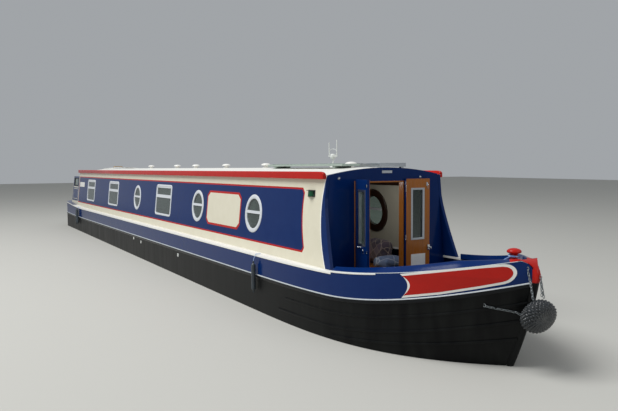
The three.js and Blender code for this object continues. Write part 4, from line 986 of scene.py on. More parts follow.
roof_white = sanded_paint()
make("roof_sheet", heap(roof_slab(HATCH_FORE, -0.0373, -ROOF_HALF, ROOF_HALF),
                        roof_slab(ROOF_AFT, HATCH_FORE, HATCH_HALF, ROOF_HALF),
                        roof_slab(ROOF_AFT, HATCH_FORE, -ROOF_HALF, -HATCH_HALF)),
     roof_white, slot="white", instead_of=["roof"])
print("roof crown", round(float(roof_h(0)), 3), "m over the gunwale")

# %% [markdown]
# ## Turned fittings
# Mushroom vents, the mooring stud, knobs and lamps are all turned shapes: a profile of radius and height carried
# once round an axis. The vents let the cabin breathe through a gap under a domed cap. The stud at the bow is a solid
# steel mushroom, painted red.
# %% Vents and the mooring stud
def turned(profile, origin, axis=(0, 0, 1), sides=36):
    """Loops of a profile of (radius, height) turned once round an axis from an origin; the ends shut on the axis."""
    radius, height = np.array(profile, float).T
    axis = np.array(axis, float) / np.linalg.norm(axis)
    aside = np.cross(axis, (0, 1, 0) if abs(axis[1]) < 0.9 else (1, 0, 0))
    aside /= np.linalg.norm(aside)
    beyond = np.cross(axis, aside)
    turn = np.linspace(0, 2 * np.pi, sides, endpoint=False)
    circle = np.cos(turn)[:, None] * aside + np.sin(turn)[:, None] * beyond
    return skin(np.asarray(origin) + np.maximum(radius, 1e-4)[:, None, None] * circle
                + height[:, None, None] * axis)


VENTS = [-0.726, -3.078, -4.635, -6.150, -7.264, -9.137]
cap_profile = [(0.036, 0.0), (0.036, 0.036), (0.070, 0.038), (0.0735, 0.041), (0.0745, 0.047), (0.071, 0.055),
               (0.060, 0.063), (0.042, 0.069), (0.020, 0.0725), (0.0, 0.0735)]
flange = [(0.0, -0.002), (0.060, -0.002), (0.062, 0.002), (0.058, 0.005), (0.0, 0.006)]
vents = [turned(part, at(x, 0.0, roof_h(0))) for x in VENTS for part in (cap_profile, flange)]
make("roof_vents", heap(*vents), white, slot="white")

stud_profile = [(0.057, -0.003), (0.058, 0.010), (0.050, 0.016), (0.038, 0.024), (0.032, 0.036), (0.0295, 0.052),
                (0.030, 0.066), (0.036, 0.076), (0.052, 0.083), (0.063, 0.089), (0.0662, 0.096), (0.0645, 0.105),
                (0.057, 0.114), (0.043, 0.122), (0.024, 0.1275), (0.0, 0.1295)]
make("mooring_stud_turned", turned(stud_profile, at(STUD_X, 0.0, sheer(STUD_X)), sides=48), red, slot="red",
     instead_of=["mooring_stud"])
print(len(VENTS), "vents and a stud")

# %% [markdown]
# ## Handrails
# Along each edge of the roof runs a steel handrail, red and rounded for the hand. Its profile is carried from the aft
# end of the cabin to just behind the front, where it tapers off over the last 80 mm.
# %% Carry the handrails along the roof
RAIL_IN, RAIL_OUT = 0.826, 0.871
RAIL_FOOT, RAIL_TOP = 0.963, 1.045
corner_turn = np.linspace(0, np.pi / 2, 5)
RAIL_ROUND = 0.014
rail_y = np.concatenate([[RAIL_IN, RAIL_OUT], RAIL_OUT - RAIL_ROUND + RAIL_ROUND * np.cos(corner_turn),
                         RAIL_IN + RAIL_ROUND - RAIL_ROUND * np.sin(corner_turn)])
rail_h = np.concatenate([[RAIL_FOOT, RAIL_FOOT], RAIL_TOP - RAIL_ROUND + RAIL_ROUND * np.sin(corner_turn),
                         RAIL_TOP - RAIL_ROUND + RAIL_ROUND * np.cos(corner_turn)])
rail_x = np.array([CABIN_AFT + 0.005, CABIN_AFT + 0.008, -9.0, -4.0, -0.09, -0.05, -0.02, -0.009, -0.008])
shrink = np.array([0.94, 1.0, 1.0, 1.0, 1.0, 0.96, 0.85, 0.72, 0.6])[:, None]
rail = at(rail_x[:, None], RAIL_IN + (rail_y - RAIL_IN) * (0.5 + 0.5 * shrink),
          RAIL_FOOT + (rail_h - RAIL_FOOT) * shrink)
both_sides("handrail_round", rail, red, slot="red", instead_of="handrail")

# %% [markdown]
# ## Windows
# Windows come as a frame of white powder-coated aluminium, bolted over a hole in the leaning side, with a bar across
# and a small light above it that opens. The frame's path is the hole's outline with its outward direction at each
# point, and a small profile is carried round it: a lip inside the hole, a low crown outside. The glass is the plain
# pane of the model, with a glass finish.
# %% Frames and glass
WINDOWS = [
    # name, x of its middle on starboard, on port, round
    ("porthole_fore", -1.737, -1.350, True), ("porthole_mid", -3.786, -3.786, True),
    ("window_fore", -5.546, -5.546, False), ("porthole_aft", -7.268, -7.268, True),
    ("window_mid", -9.291, -9.291, False), ("window_aft", -11.720, -11.720, False),
]
PORTHOLE_R, PORTHOLE_H = 0.205, 0.485
WINDOW_LONG, WINDOW_LOW, WINDOW_HIGH, WINDOW_CORNER = 0.840, 0.245, 0.758, 0.040


def on_side(x, h, proud, way):
    """A point of the cabin side's outer face, moved outwards by proud."""
    return at(x, way * (cabin_y(np.asarray(h, float)) + proud), h)


def circle_path(x, h, radius, count=72):
    """A round outline and its outward directions."""
    turn = np.linspace(0, 2 * np.pi, count, endpoint=False)
    way = np.stack([np.cos(turn), np.sin(turn)], axis=-1)
    return (x, h) + radius * way, way


def oblong_path(x, low, high, long, corner, steps=8):
    """A rectangle with rounded corners and its outward directions: four quarter circles joined by straight runs."""
    quarter = np.linspace(0, np.pi / 2, steps)
    centres = [(1, 1, 0), (-1, 1, 1), (-1, -1, 2), (1, -1, 3)]
    points, ways = [], []
    for right, up, turn in centres:
        angle = quarter + turn * np.pi / 2
        way = np.stack([np.cos(angle), np.sin(angle)], axis=-1)
        middle = (x + right * (long / 2 - corner), (low + high) / 2 + up * ((high - low) / 2 - corner))
        points.append(np.array(middle) + corner * way)
        ways.append(way)
    return np.concatenate(points), np.concatenate(ways)


def frame_round(path, ways, profile, way):
    """A closed ring: each profile point is an offset outwards in the side's plane and a height proud of it."""
    loops = [on_side(path[:, 0] + ways[:, 0] * out, path[:, 1] + ways[:, 1] * out, proud, way)
             for out, proud in profile]
    return skin(np.stack(loops, axis=1), ring=True)


def rim_profile(wide):
    """The frame's section: a lip in the hole, a rounded crown 9 mm proud, a thin outer edge."""
    return [(-0.0006, -0.007), (-0.008, -0.007), (-0.009, 0.001), (-0.007, 0.0055), (-0.002, 0.008),
            (0.3 * wide, 0.0090), (0.7 * wide, 0.0080), (0.93 * wide, 0.0050), (wide, 0.0020), (wide, 0.0005),
            (-0.0006, 0.0005)]


def side_bar(x0, x1, h0, h1, low, high, way):
    """A bar lying in the side's plane, from a height below the face to a height proud of it."""
    x, h = np.array([x0, x1])[:, None], np.array([h0, h1])
    return slab(on_side(x, h, high, way), on_side(x, h, low, way))


powder_coat = enamel("white_powder_coated_aluminium", "dde0e4", "c4c9ce", 0.3)


def window_glass():
    """Toughened float glass, slightly green from iron, with a thin film of dust."""
    material, tree, shader = finish_of("toughened_float_glass", IOR=1.52, Transmission_Weight=0.85,
                                       Specular_IOR_Level=0.6)
    where = add(tree, "ShaderNodeTexCoord").outputs["Object"]
    film = add(tree, "ShaderNodeTexNoise", {"Vector": where, "Scale": 5.0, "Detail": 5.0})
    shine = add(tree, "ShaderNodeMapRange", {"Value": film.outputs["Fac"], "To Min": 0.0, "To Max": 0.06})
    tree.links.new(shine.outputs["Result"], shader.inputs["Roughness"])
    tint = add(tree, "ShaderNodeMix", {"Factor": film.outputs["Fac"], "A": linear("7f9089"), "B": linear("93a39c")},
               data_type="RGBA")
    tree.links.new(tint.outputs["Result"], shader.inputs["Base Color"])
    return material


glass = window_glass()
frames_made = []
for side_name, way in (("starboard", -1), ("port", 1)):
    for window, star_x, port_x, is_round in WINDOWS:
        x = star_x if way < 0 else port_x
        if is_round:
            path = circle_path(x, PORTHOLE_H, PORTHOLE_R)
            made = [frame_round(*path, rim_profile(0.046), way),
                    side_bar(x - 0.196, x + 0.196, 0.486, 0.522, -0.0075, 0.006, way),
                    side_bar(x - 0.203, x + 0.203, 0.486, 0.522, -0.0370, -0.0330, way)]
        else:
            path = oblong_path(x, WINDOW_LOW, WINDOW_HIGH, WINDOW_LONG, WINDOW_CORNER)
            made = [frame_round(*path, rim_profile(0.0275), way),
                    side_bar(x - 0.41, x + 0.41, 0.545, 0.600, -0.0075, 0.006, way),
                    side_bar(x - 0.41, x - 0.385, 0.600, 0.75, -0.0075, 0.003, way),
                    side_bar(x + 0.385, x + 0.41, 0.600, 0.75, -0.0075, 0.003, way),
                    side_bar(x - 0.41, x + 0.41, 0.725, 0.75, -0.0075, 0.003, way)]
        frames_made += made
        refinish([f"{window}_{side_name}"], glass)
make("window_frames", heap(*frames_made), powder_coat, slot="white")
print(len(WINDOWS) * 2, "windows framed")

# %% [markdown]
# ## Finishes by process
# Most other finishes are told apart by few things: two tones in soft patches, how rough those are, and a fine grain in
# relief. One function makes such a finish from real sizes: patches and grain counted per metre, the relief's depth in
# metres, and a stretch along the axes for what is brushed, sawn or spun.
# %% One function for many finishes
def process(name, fresh, worn, patch=7.0, rough=(0.3, 0.5), grain=300.0, relief=0.0003, drawn=(1, 1, 1), **constants):
    """A finish of two tones mixed by soft patches, a roughness that follows them, and a fine grain in relief."""
    material, tree, shader = finish_of(name, **constants)
    where = add(tree, "ShaderNodeTexCoord").outputs["Object"]
    where = add(tree, "ShaderNodeMapping", {"Vector": where, "Scale": drawn}).outputs["Vector"]
    soft = add(tree, "ShaderNodeTexNoise", {"Vector": where, "Scale": patch, "Detail": 5.0}).outputs["Fac"]
    fine = add(tree, "ShaderNodeTexNoise", {"Vector": where, "Scale": grain, "Detail": 3.0}).outputs["Fac"]
    tone = add(tree, "ShaderNodeMix", {"Factor": soft, "A": linear(fresh), "B": linear(worn)}, data_type="RGBA")
    shine = add(tree, "ShaderNodeMapRange", {"Value": soft, "To Min": rough[0], "To Max": rough[1]})
    bump = add(tree, "ShaderNodeBump", {"Height": fine, "Strength": 0.5, "Distance": relief})
    tree.links.new(tone.outputs["Result"], shader.inputs["Base Color"])
    tree.links.new(shine.outputs["Result"], shader.inputs["Roughness"])
    tree.links.new(bump.outputs["Normal"], shader.inputs["Normal"])
    return material


# oak boards: long figure along the height, varnished with four coats
oak = process("varnished_oak", "b8702c", "8a501d", 9.0, (0.22, 0.34), 90.0, 0.0002, (6, 6, 0.5), Coat_Weight=0.25,
              Coat_Roughness=0.1, Specular_IOR_Level=0.3)
oak_floor = process("oiled_oak_boards", "8b6236", "5d4022", 8.0, (0.35, 0.5), 80.0, 0.0003, (0.5, 8, 8))
mahogany = process("stained_mahogany", "3a2418", "24150e", 9.0, (0.25, 0.4), 90.0, 0.0002, (1, 6, 6))
aluminium = process("anodised_aluminium", "c9cdd2", "a9afb6", 12.0, (0.28, 0.4), 500.0, 0.0001, (1, 1, 8), Metallic=1.0)
chrome = process("chromed_brass", "dfe2e6", "c4c8ce", 20.0, (0.08, 0.18), 400.0, 0.0001, Metallic=1.0)
brass = process("polished_brass", "c9a050", "9a7430", 16.0, (0.12, 0.3), 400.0, 0.0001, Metallic=1.0)
bronze = process("cast_propeller_bronze", "a8804a", "6c5a3a", 14.0, (0.3, 0.55), 180.0, 0.0004, Metallic=1.0)
galvanised = process("hot_dip_galvanised_steel", "a3a8ab", "6f7679", 60.0, (0.35, 0.6), 400.0, 0.0003, Metallic=1.0)
fender_rope = process("tarred_polypropylene_plait", "14181b", "252b30", 20.0, (0.2, 0.36), 260.0, 0.0012, (1, 1, 2),
                      Coat_Weight=0.3, Coat_Roughness=0.3)
fender_vinyl = process("moulded_vinyl_navy", "2a3238", "3b444b", 12.0, (0.3, 0.5), 250.0, 0.0003)
white_plastic = process("sun_worn_white_plastic", "eceeea", "d3d5cf", 12.0, (0.35, 0.55), 350.0, 0.0003)
rubber = process("extruded_black_rubber", "141516", "202224", 15.0, (0.5, 0.7), 500.0, 0.0003)
engine_paint = process("heat_proof_engine_enamel", "1f4a38", "17352a", 10.0, (0.3, 0.6), 200.0, 0.0006)
lining_paint = process("painted_ply_lining", "c9c4b2", "b5b09d", 4.0, (0.4, 0.6), 120.0, 0.0002)
plate_grey = process("satin_grey_plate_enamel", "c6cbd0", "b0b6bc", 10.0, (0.3, 0.45), 300.0, 0.0002)
deck_grit = process("gritted_navy_deck_paint", "16284f", "22355c", 6.0, (0.5, 0.7), 500.0, 0.0010)
plank_paint = process("gritted_pale_plank_paint", "aebcb2", "8f9d94", 8.0, (0.45, 0.6), 420.0, 0.0010)
green_lens = process("green_acrylic_lens", "0c6a3c", "0a5530", 30.0, (0.05, 0.12), 300.0, 0.0001, Transmission_Weight=0.4)
red_lens = process("red_acrylic_lens", "a01812", "84120e", 30.0, (0.05, 0.12), 300.0, 0.0001, Transmission_Weight=0.4)
refinish(["baseplate", "swim", "uxter_plate", "rudder_tube"], black)
refinish(["front_bulkhead", "companion_bulkhead", "rear_frame", "locker_bulkhead"], navy)
refinish(["well_deck"], deck_grit)
refinish(["cabin_floor"], oak_floor)
print(len(bpy.data.materials), "materials")

# %% [markdown]
# ## Pieces laid out in a plane
# A door, a frame or a name board is drawn in a plane of its own: u along it, v up, w out of it. A place function then
# sets that plane in the boat, upright on a bulkhead, leaning with the cabin side, or turned on a hinge. Rings, plates
# and round bars drawn this way serve doors that stand open at any angle.
# %% Rings, plates, round bars and chain
def rect(u0, u1, v0, v1):
    """The corners of an upright rectangle, in turn."""
    return np.array([(u0, v0), (u1, v0), (u1, v1), (u0, v1)], float)


def ring_of(outer, hole, near, far, place):
    """The closed solid between an outline and a hole with as many corners, between two depths of a placed plane."""
    loops = [place(*line.T, depth) for line, depth in ((outer, near), (outer, far), (hole, far), (hole, near))]
    return skin(np.stack(loops, axis=1), ring=True)


def plate_of(line, near, far, place):
    """A flat plate of that outline between two depths of a placed plane."""
    return skin(np.stack([place(*line.T, near), place(*line.T, far)]))


def pipe(line, radius, sides=12, beside=(0.0, 0.0, 1.0), ring=False):
    """A round bar along a line: circles square to it. beside is any direction in which the line never runs."""
    line = np.asarray(line, float)
    ahead = np.gradient(line, axis=0)
    if ring:
        ahead = np.roll(line, -1, axis=0) - np.roll(line, 1, axis=0)
    aside = np.cross(beside, ahead)
    aside /= np.linalg.norm(aside, axis=1, keepdims=True)
    above = np.cross(ahead, aside)
    above /= np.linalg.norm(above, axis=1, keepdims=True)
    turn = np.linspace(0, 2 * np.pi, sides, endpoint=False)
    reach = np.broadcast_to(radius, len(line))[:, None, None]
    circles = np.cos(turn)[None, :, None] * aside[:, None] + np.sin(turn)[None, :, None] * above[:, None]
    return skin(line[:, None] + reach * circles, ring=ring)


def hoop(middle, radius, wire, u, v, stretch=1.0, count=16, sides=6):
    """A closed ring of wire in the plane of u and v, drawn out along u."""
    turn = np.linspace(0, 2 * np.pi, count, endpoint=False)[:, None]
    u, v = np.array(u, float), np.array(v, float)
    line = np.array(middle) + radius * (stretch * np.cos(turn) * u + np.sin(turn) * v)
    return pipe(line, wire, sides, np.cross(u, v), ring=True)


def chain(points, pitch=0.026, wire=0.0032):
    """Links along a line of straight runs, each turned a quarter against the one before."""
    points = np.asarray(points, float)
    far = np.concatenate([[0], np.cumsum(np.linalg.norm(np.diff(points, axis=0), axis=1))])
    middle = np.arange(pitch / 2, far[-1], pitch)
    spots = np.stack([np.interp(middle, far, points[:, i]) for i in range(3)], axis=-1)
    links = []
    for k, spot in enumerate(spots):
        run = points[min(np.searchsorted(far, middle[k]), len(points) - 1)] - points[np.searchsorted(far, middle[k]) - 1]
        run /= np.linalg.norm(run)
        side_on = np.cross(run, (0.3, 1.0, 0.2))
        side_on /= np.linalg.norm(side_on)
        links.append(hoop(spot, 0.0085, wire, run, np.cross(run, side_on) if k % 2 else side_on, 2.05, 14))
    return heap(*links)


def upright(u, v, w):
    """A plane across the boat, facing the bow: u is y to port, v the height, w the place along the boat."""
    return at(w, u, v)


# %% [markdown]
# ## The front doors
# A leaf is a steel skin outside and oak boards inside, with a long window in an aluminium frame let through both.
# The port leaf lies folded back flat, so its oak face shows. The starboard leaf stands out from its hinge with its
# navy face to the water. Both carry their small furniture: hook and eye, rim latch, knob, lock and door catches.
# %% Hang the front doors
LEAF_TURN = math.radians(-103)
PINS = ((0.023, 0.2565), (0.023, -0.436))


def starboard_leaf(u, v, w):
    """The turned leaf: u from the pin along it, v the height, w out of its outer face from the pin."""
    return at(PINS[1][0] + w * math.cos(LEAF_TURN) - u * math.sin(LEAF_TURN),
              PINS[1][1] + w * math.sin(LEAF_TURN) + u * math.cos(LEAF_TURN), v)


LEAVES = [
    # side, place, outline, window hole, the three depths of its layers, their materials, frame outline, frame depths
    ("port", upright, rect(0.2585, 0.6185, -0.445, 0.955), rect(0.3435, 0.5135, 0.245, 0.825),
     (0.008, 0.036, 0.044), ("steel", "oak"), rect(0.326, 0.534, 0.225, 0.843), (0.0442, 0.0475)),
    ("starboard", starboard_leaf, rect(0.002, 0.319, -0.445, 0.955), rect(0.087, 0.257, 0.245, 0.825),
     (-0.021, -0.016, 0.015), ("oak", "steel"), rect(0.068, 0.276, 0.226, 0.844), (0.0152, 0.0185)),
]
LAYER = {"steel": (navy, "navy"), "oak": (oak, "oak")}
for side_name, place, outline, hole, depths, layers, frame_line, (low, high) in LEAVES:
    body = f"front_door_{side_name}"
    for k, layer in enumerate(layers):
        trim = 0.003 if layer == "oak" else 0.0
        line = outline + trim * np.sign(outline.mean(axis=0) - outline)
        make(f"{body}_{layer}", ring_of(line, hole, depths[k] + 0.0001 * k, depths[k + 1], place), LAYER[layer][0],
             body, LAYER[layer][1], [body], bevel=0.0015)
    clear = (hole - hole.mean(axis=0)) * (0.88, 0.985) + hole.mean(axis=0)
    sleeve = (hole - hole.mean(axis=0)) * (0.994, 0.998) + hole.mean(axis=0)
    make(f"{body}_window_frame", heap(ring_of(frame_line, clear, low, high, place),
                                      ring_of(sleeve, clear, depths[0] + 0.002, low - 0.0005, place)),
         aluminium, body, "steel", bevel=0.001)
    middle_depth = (depths[0] + depths[2]) / 2
    make(f"{body}_pane", plate_of((clear - clear.mean(axis=0)) * (1.05, 1.01) + clear.mean(axis=0), middle_depth - 0.003,
                                  middle_depth + 0.003, place), glass, body, "glass")

make("front_door_port_panel", heap(plate_of(rect(0.330, 0.548, -0.36, 0.055), 0.0442, 0.0475, upright),
                                   plate_of(rect(0.350, 0.528, -0.34, 0.035), 0.0477, 0.0495, upright)),
     white, "front_door_port", "white", bevel=0.001)
port_fittings = [
    plate_of(rect(0.561, 0.585, 0.862, 0.908), 0.0442, 0.0475, upright),
    hoop(at(0.0535, 0.573, 0.885), 0.013, 0.0028, (0, 1, 0), (0, 0, 1)),
    pipe(at(np.array([0.054, 0.057, 0.055, 0.052]), 0.577, np.array([0.872, 0.855, 0.835, 0.829])), 0.003, 8, (0, 1, 0)),
    plate_of(rect(0.578, 0.612, 0.092, 0.156), 0.0442, 0.0560, upright),
    turned([(0.006, 0.0), (0.006, 0.016), (0.014, 0.020), (0.017, 0.028), (0.014, 0.036), (0.0, 0.039)],
           at(0.056, 0.595, 0.124), (1, 0, 0), 24)]
make("front_door_port_furniture", heap(*port_fittings), chrome, "front_door_port", "steel", bevel=0.0008)
outward = starboard_leaf(0.0, 0.0, 1.0) - starboard_leaf(0.0, 0.0, 0.0)
along_leaf = starboard_leaf(1.0, 0.0, 0.0) - starboard_leaf(0.0, 0.0, 0.0)
starboard_fittings = [
    turned([(0.022, 0.0), (0.022, 0.003), (0.008, 0.005), (0.008, 0.018), (0.016, 0.024), (0.019, 0.031),
            (0.016, 0.039), (0.0, 0.042)], starboard_leaf(0.137, 0.252 - 0.045, 0.0152), outward, 24),
    plate_of(rect(0.192, 0.222, 0.142, 0.202), 0.0152, 0.0190, starboard_leaf),
    turned([(0.009, 0.0), (0.009, 0.004), (0.006, 0.006), (0.0, 0.0062)], starboard_leaf(0.207, 0.182, 0.0188),
           outward, 20)]
for height in (0.889, 0.166):
    starboard_fittings += [plate_of(rect(0.290, 0.316, height - 0.016, height + 0.016), 0.0152, 0.0200, starboard_leaf),
                           pipe(np.linspace(starboard_leaf(0.298, height, 0.022), starboard_leaf(0.334, height, 0.022), 4),
                                0.0045, 10)]
make("front_door_starboard_furniture", heap(*starboard_fittings), chrome, "front_door_starboard", "steel", bevel=0.0008)

barrel = [(0.0, 0.0), (0.0032, 0.0008), (0.0042, 0.004), (0.0042, 0.022), (0.0036, 0.0228), (0.0042, 0.0236),
          (0.0042, 0.046), (0.0036, 0.0468), (0.0042, 0.0476), (0.0042, 0.066), (0.0032, 0.0692), (0.0, 0.070)]
make("front_door_hinges", heap(*[turned(barrel, at(*pin, height), sides=16) for pin in ((0.046, 0.2500), (-0.0015, -0.4405))
                                 for height in (-0.32, 0.22, 0.80)][:3]), chrome, slot="steel")
print("two doors of", sum(name.startswith("front_door") for name in pieces), "pieces")

# %% [markdown]
# ## Round the front doorway
# The doorway is lined with oak: a jamb at each side and a board across the top. Two small lamps and a blank name
# plate sit above it. In the cabin a dark wooden ring finishes each window, and a pelmet hides the blinds' rail.
# %% Line the doorway and the windows
def block(x, y, h):
    """A plain box between two places along each direction."""
    return boxes(((x[0] + FRONT, x[1] + FRONT), y, (h[0] + DECK, h[1] + DECK)))


make("front_doorway_lining", heap(block((-0.075, 0.0015), (0.2405, 0.2565), (-0.428, 0.930)),
                                  block((-0.060, 0.0010), (-0.4355, -0.4135), (-0.428, 0.930)),
                                  block((0.0003, 0.0040), (-0.4580, -0.4450), (-0.040, 0.936)),
                                  block((-0.060, 0.0012), (-0.4130, 0.2400), (0.914, 0.9295)),
                                  block((-0.060, 0.0012), (-0.4130, 0.2400), (-0.4295, -0.418))),
     oak, slot="oak", bevel=0.002)
lamp_profile = [(0.016, 0.0), (0.016, 0.004), (0.012, 0.007), (0.0105, 0.012), (0.006, 0.0155), (0.0, 0.0165)]
make("front_lamps", heap(*[turned(lamp_profile, at(0.0003, y, h), (1, 0, 0), 24)
                           for y, h in ((-0.662, 0.967), (0.501, 0.970))]), chrome, slot="steel")
make("front_plate", plate_of(rect(-0.069, 0.077, 1.021, 1.051), 0.0003, 0.0030, upright), plate_grey, slot="white",
     bevel=0.0008)



def liner(wide, deep):
    """A wooden ring's section inside the cabin: flat on the wall, its edge rounded."""
    return [(-0.0005, -0.0405), (-0.0005, -deep), (0.010, -deep - 0.0035), (wide - 0.006, -deep - 0.0005),
            (wide, -deep + 0.004), (wide, -0.0405)]


liners, shelves = [], []
for way in (-1, 1):
    for window, star_x, port_x, is_round in WINDOWS:
        x = star_x if way < 0 else port_x
        outline = (circle_path(x, PORTHOLE_H, PORTHOLE_R) if is_round
                   else oblong_path(x, WINDOW_LOW, WINDOW_HIGH, WINDOW_LONG, WINDOW_CORNER))
        liners.append(frame_round(*outline, liner(0.095, 0.064) if is_round else liner(0.044, 0.060), way))
    shelves.append(side_bar(-12.25, -0.05, 0.845, 0.930, -0.0620, -0.0405, way))
make("window_liners", heap(*liners), mahogany, slot="oak")
make("cabin_pelmets", heap(*shelves), mahogany, slot="oak", bevel=0.003)
print("lining round the doorway and", len(liners), "windows")

# %% [markdown]
# ## Painted boards and small fittings on the sides
# The name boards at the bow follow the curve of the plate: a red panel in a cream border, with a round front end and
# a hollow back end. The sign on the cabin side is cream in a red border with cut corners. The words on them are left
# out. A navigation lamp sits on each side, green to starboard and red to port.
# %% Boards, lamps and outlets
def name_board(border, proud, way, back=0.001):
    """A board on the bow's curved side, in from its outline by the border: a round front end, a hollow back end."""
    s, t = np.meshgrid(np.linspace(0, 1, 48), np.linspace(0, 1, 25), indexing="ij")
    hollow, bulge = 1 - (2 * t - 1) ** 2, np.sqrt(np.clip(1 - (2 * t - 1) ** 2, 0, 1))
    x = (1.157 + border + 0.068 * hollow) * (1 - s) + (1.945 - border * 0.4 + (0.078 - 0.6 * border) * bulge) * s
    top = np.interp(x, [1.157, 1.508, 1.794, 1.951, 2.05], [0.079, 0.149, 0.206, 0.232, 0.246]) - border
    foot = np.interp(x, [1.155, 1.495, 1.787, 1.949, 2.05], [-0.154, -0.081, 0.001, 0.053, 0.083]) + border
    h = foot + (top - foot) * t
    bend = bend_at(x, h)
    grids = []
    for stand in (proud, -back):
        px, py = bow(bend, h, -stand)
        grids.append(at(px, way * py, h))
    return slab(*grids)


for side_name, way in (("port", 1), ("starboard", -1)):
    make(f"name_board_border_{side_name}", name_board(0.0, 0.0016, way), white, slot="white")
    make(f"name_board_{side_name}", name_board(0.022, 0.0028, way), red, slot="red")

sign_line = np.array([(-3.39, 0.304), (-3.305, 0.232), (-2.225, 0.232), (-2.14, 0.304), (-2.14, 0.673),
                      (-2.225, 0.745), (-3.305, 0.745), (-3.39, 0.673)])
sign_middle = sign_line.mean(axis=0)
for side_name, way in (("port", 1), ("starboard", -1)):
    def lean(u, v, w, way=way):
        """The cabin side's leaning plane."""
        return on_side(u, v, w, way)
    edge_in = (sign_line - sign_middle) * (1 - 0.030 / 0.625, 1 - 0.030 / 0.2565) + sign_middle
    make(f"sign_{side_name}", plate_of(edge_in, -0.0004, 0.0030, lean), cream, slot="cream")
    make(f"sign_border_{side_name}", ring_of(sign_line, (edge_in - sign_middle) * 0.998 + sign_middle, -0.0004, 0.0022,
                                             lean), red, slot="red")
    arc = np.linspace(0, np.pi, 15)
    lens_line = np.stack([-0.282 + 0.050 * np.cos(arc), 0.011 + 0.030 * np.sin(arc)])
    lens_rows = [on_side(lens_line[0], height, lens_line[1], way) for height in (0.768, 0.771, 0.826, 0.829)]
    make(f"lamp_base_{side_name}", heap(plate_of(rect(-0.354, -0.210, 0.760, 0.837), 0.0003, 0.0110, lean),
                                        plate_of(rect(-0.340, -0.224, 0.8295, 0.836), 0.0112, 0.0440, lean)),
         rubber, slot="rubber", bevel=0.0015)
    make(f"lamp_lens_{side_name}", skin(np.stack(lens_rows)), green_lens if way < 0 else red_lens, slot="glass")
    make(f"blank_plate_{side_name}", plate_of(rect(-13.245, -12.635, 0.570, 0.700), 0.0003, 0.0030, lean), white,
         slot="white", bevel=0.0008)

outlet = [(0.030, 0.0), (0.030, 0.003), (0.026, 0.006), (0.017, 0.007), (0.015, -0.004), (0.0, -0.004)]
make("skin_fittings", heap(*[turned(outlet, at(x, -HALF_BEAM, h), (0, -1, 0), 28)
                             for x, h in ((-4.298, -0.360), (-6.995, -0.329), (-6.479, -0.359))]), white_plastic,
     slot="white")
print("boards, two signs, two lamps and three outlets")
# %% [markdown]
# ## Fenders and chains
# The fender on the stem is a ball of rope plaited over a core. Its surface is a turned shape whose radius rises and
# falls with two families of crossing waves, which is how the knuckles of a plait lie. Galvanised chains hold it to the
# deck. The long side fenders are moulded vinyl tubes with an eye at each end, lashed to the gunwale with thin line.
# %% Plait the bow fender and hang its chains
FENDER_H = -0.200
fender_rake = math.atan((stem_x(FENDER_H + 0.1) - stem_x(FENDER_H - 0.1)) / 0.2)
fender_axis = np.array([math.cos(fender_rake), 0, -math.sin(fender_rake)])
fender_up = np.array([math.sin(fender_rake), 0, math.cos(fender_rake)])
fender_from = at(stem_x(FENDER_H) + 0.015, 0, FENDER_H)
profile_r = [0.0, 0.060, 0.105, 0.128, 0.139, 0.141, 0.138, 0.128, 0.110, 0.084, 0.050, 0.0]
profile_x = [0.002, 0.003, 0.008, 0.026, 0.052, 0.076, 0.100, 0.124, 0.143, 0.154, 0.159, 0.160]
share = np.linspace(0, 1, 150)
plait_r = np.interp(share, np.linspace(0, 1, 12), profile_r)
plait_x = np.interp(share, np.linspace(0, 1, 12), profile_x)
KNUCKLES = 11
FENDER_STRETCH = 1.25  # it is this much broader than tall
around = np.linspace(0, 2 * np.pi, 336, endpoint=False)
first = np.sin(KNUCKLES * around[None] + 8 * np.pi * share[:, None])
second = np.sin(KNUCKLES * around[None] - 8 * np.pi * share[:, None])
knuckle = 0.013 * np.sqrt(np.abs(first * second)) * np.clip(plait_r / 0.05, 0, 1)[:, None]
reach = np.maximum(plait_r, 1e-4)[:, None] + knuckle
push = plait_x[:, None] + 0.3 * knuckle * np.sign(share - 0.5)[:, None]
fender_grid = (fender_from + push[..., None] * fender_axis
               + (reach * np.cos(around))[..., None] * fender_up + (reach * np.sin(around))[..., None] * (0, FENDER_STRETCH, 0))
make("bow_fender_plait", skin(fender_grid), fender_rope, slot="rubber", instead_of=["bow_fender"], crease=80)

chain_h = np.array([-0.160, -0.176, -0.192, -0.205])
chain_x, chain_y = bow(bend_at(np.array([1.806, 1.870, 1.940, 1.985]), chain_h), chain_h, -0.013)
side_chain = at(np.append(chain_x, 2.035), np.append(chain_y, 0.075), np.append(chain_h, -0.225))
front_chain = at([2.085, 2.120, 2.150], [0.066, 0.070, 0.070], [0.185, 0.080, -0.055])
chains = [chain(line * (1, way, 1)) for line in (side_chain, front_chain) for way in (-1, 1)]
chains.append(chain(at([2.176, 2.184], [-0.004, 0.0], [0.118, -0.030])))
make("fender_chains", heap(*chains), galvanised, slot="steel")
eyes = [hoop(at(x, way * y, h), 0.014, 0.004, (1, 0, 0), (0, 0, 1)) for way in (-1, 1)
        for x, y, h in ((1.804, chain_y[0], -0.154), (2.082, 0.064, 0.196))]
eyes.append(hoop(at(2.172, -0.004, 0.128), 0.013, 0.004, (1, 0, 0), (0, 0, 1)))
make("chain_eyes", heap(*eyes), galvanised, slot="steel")

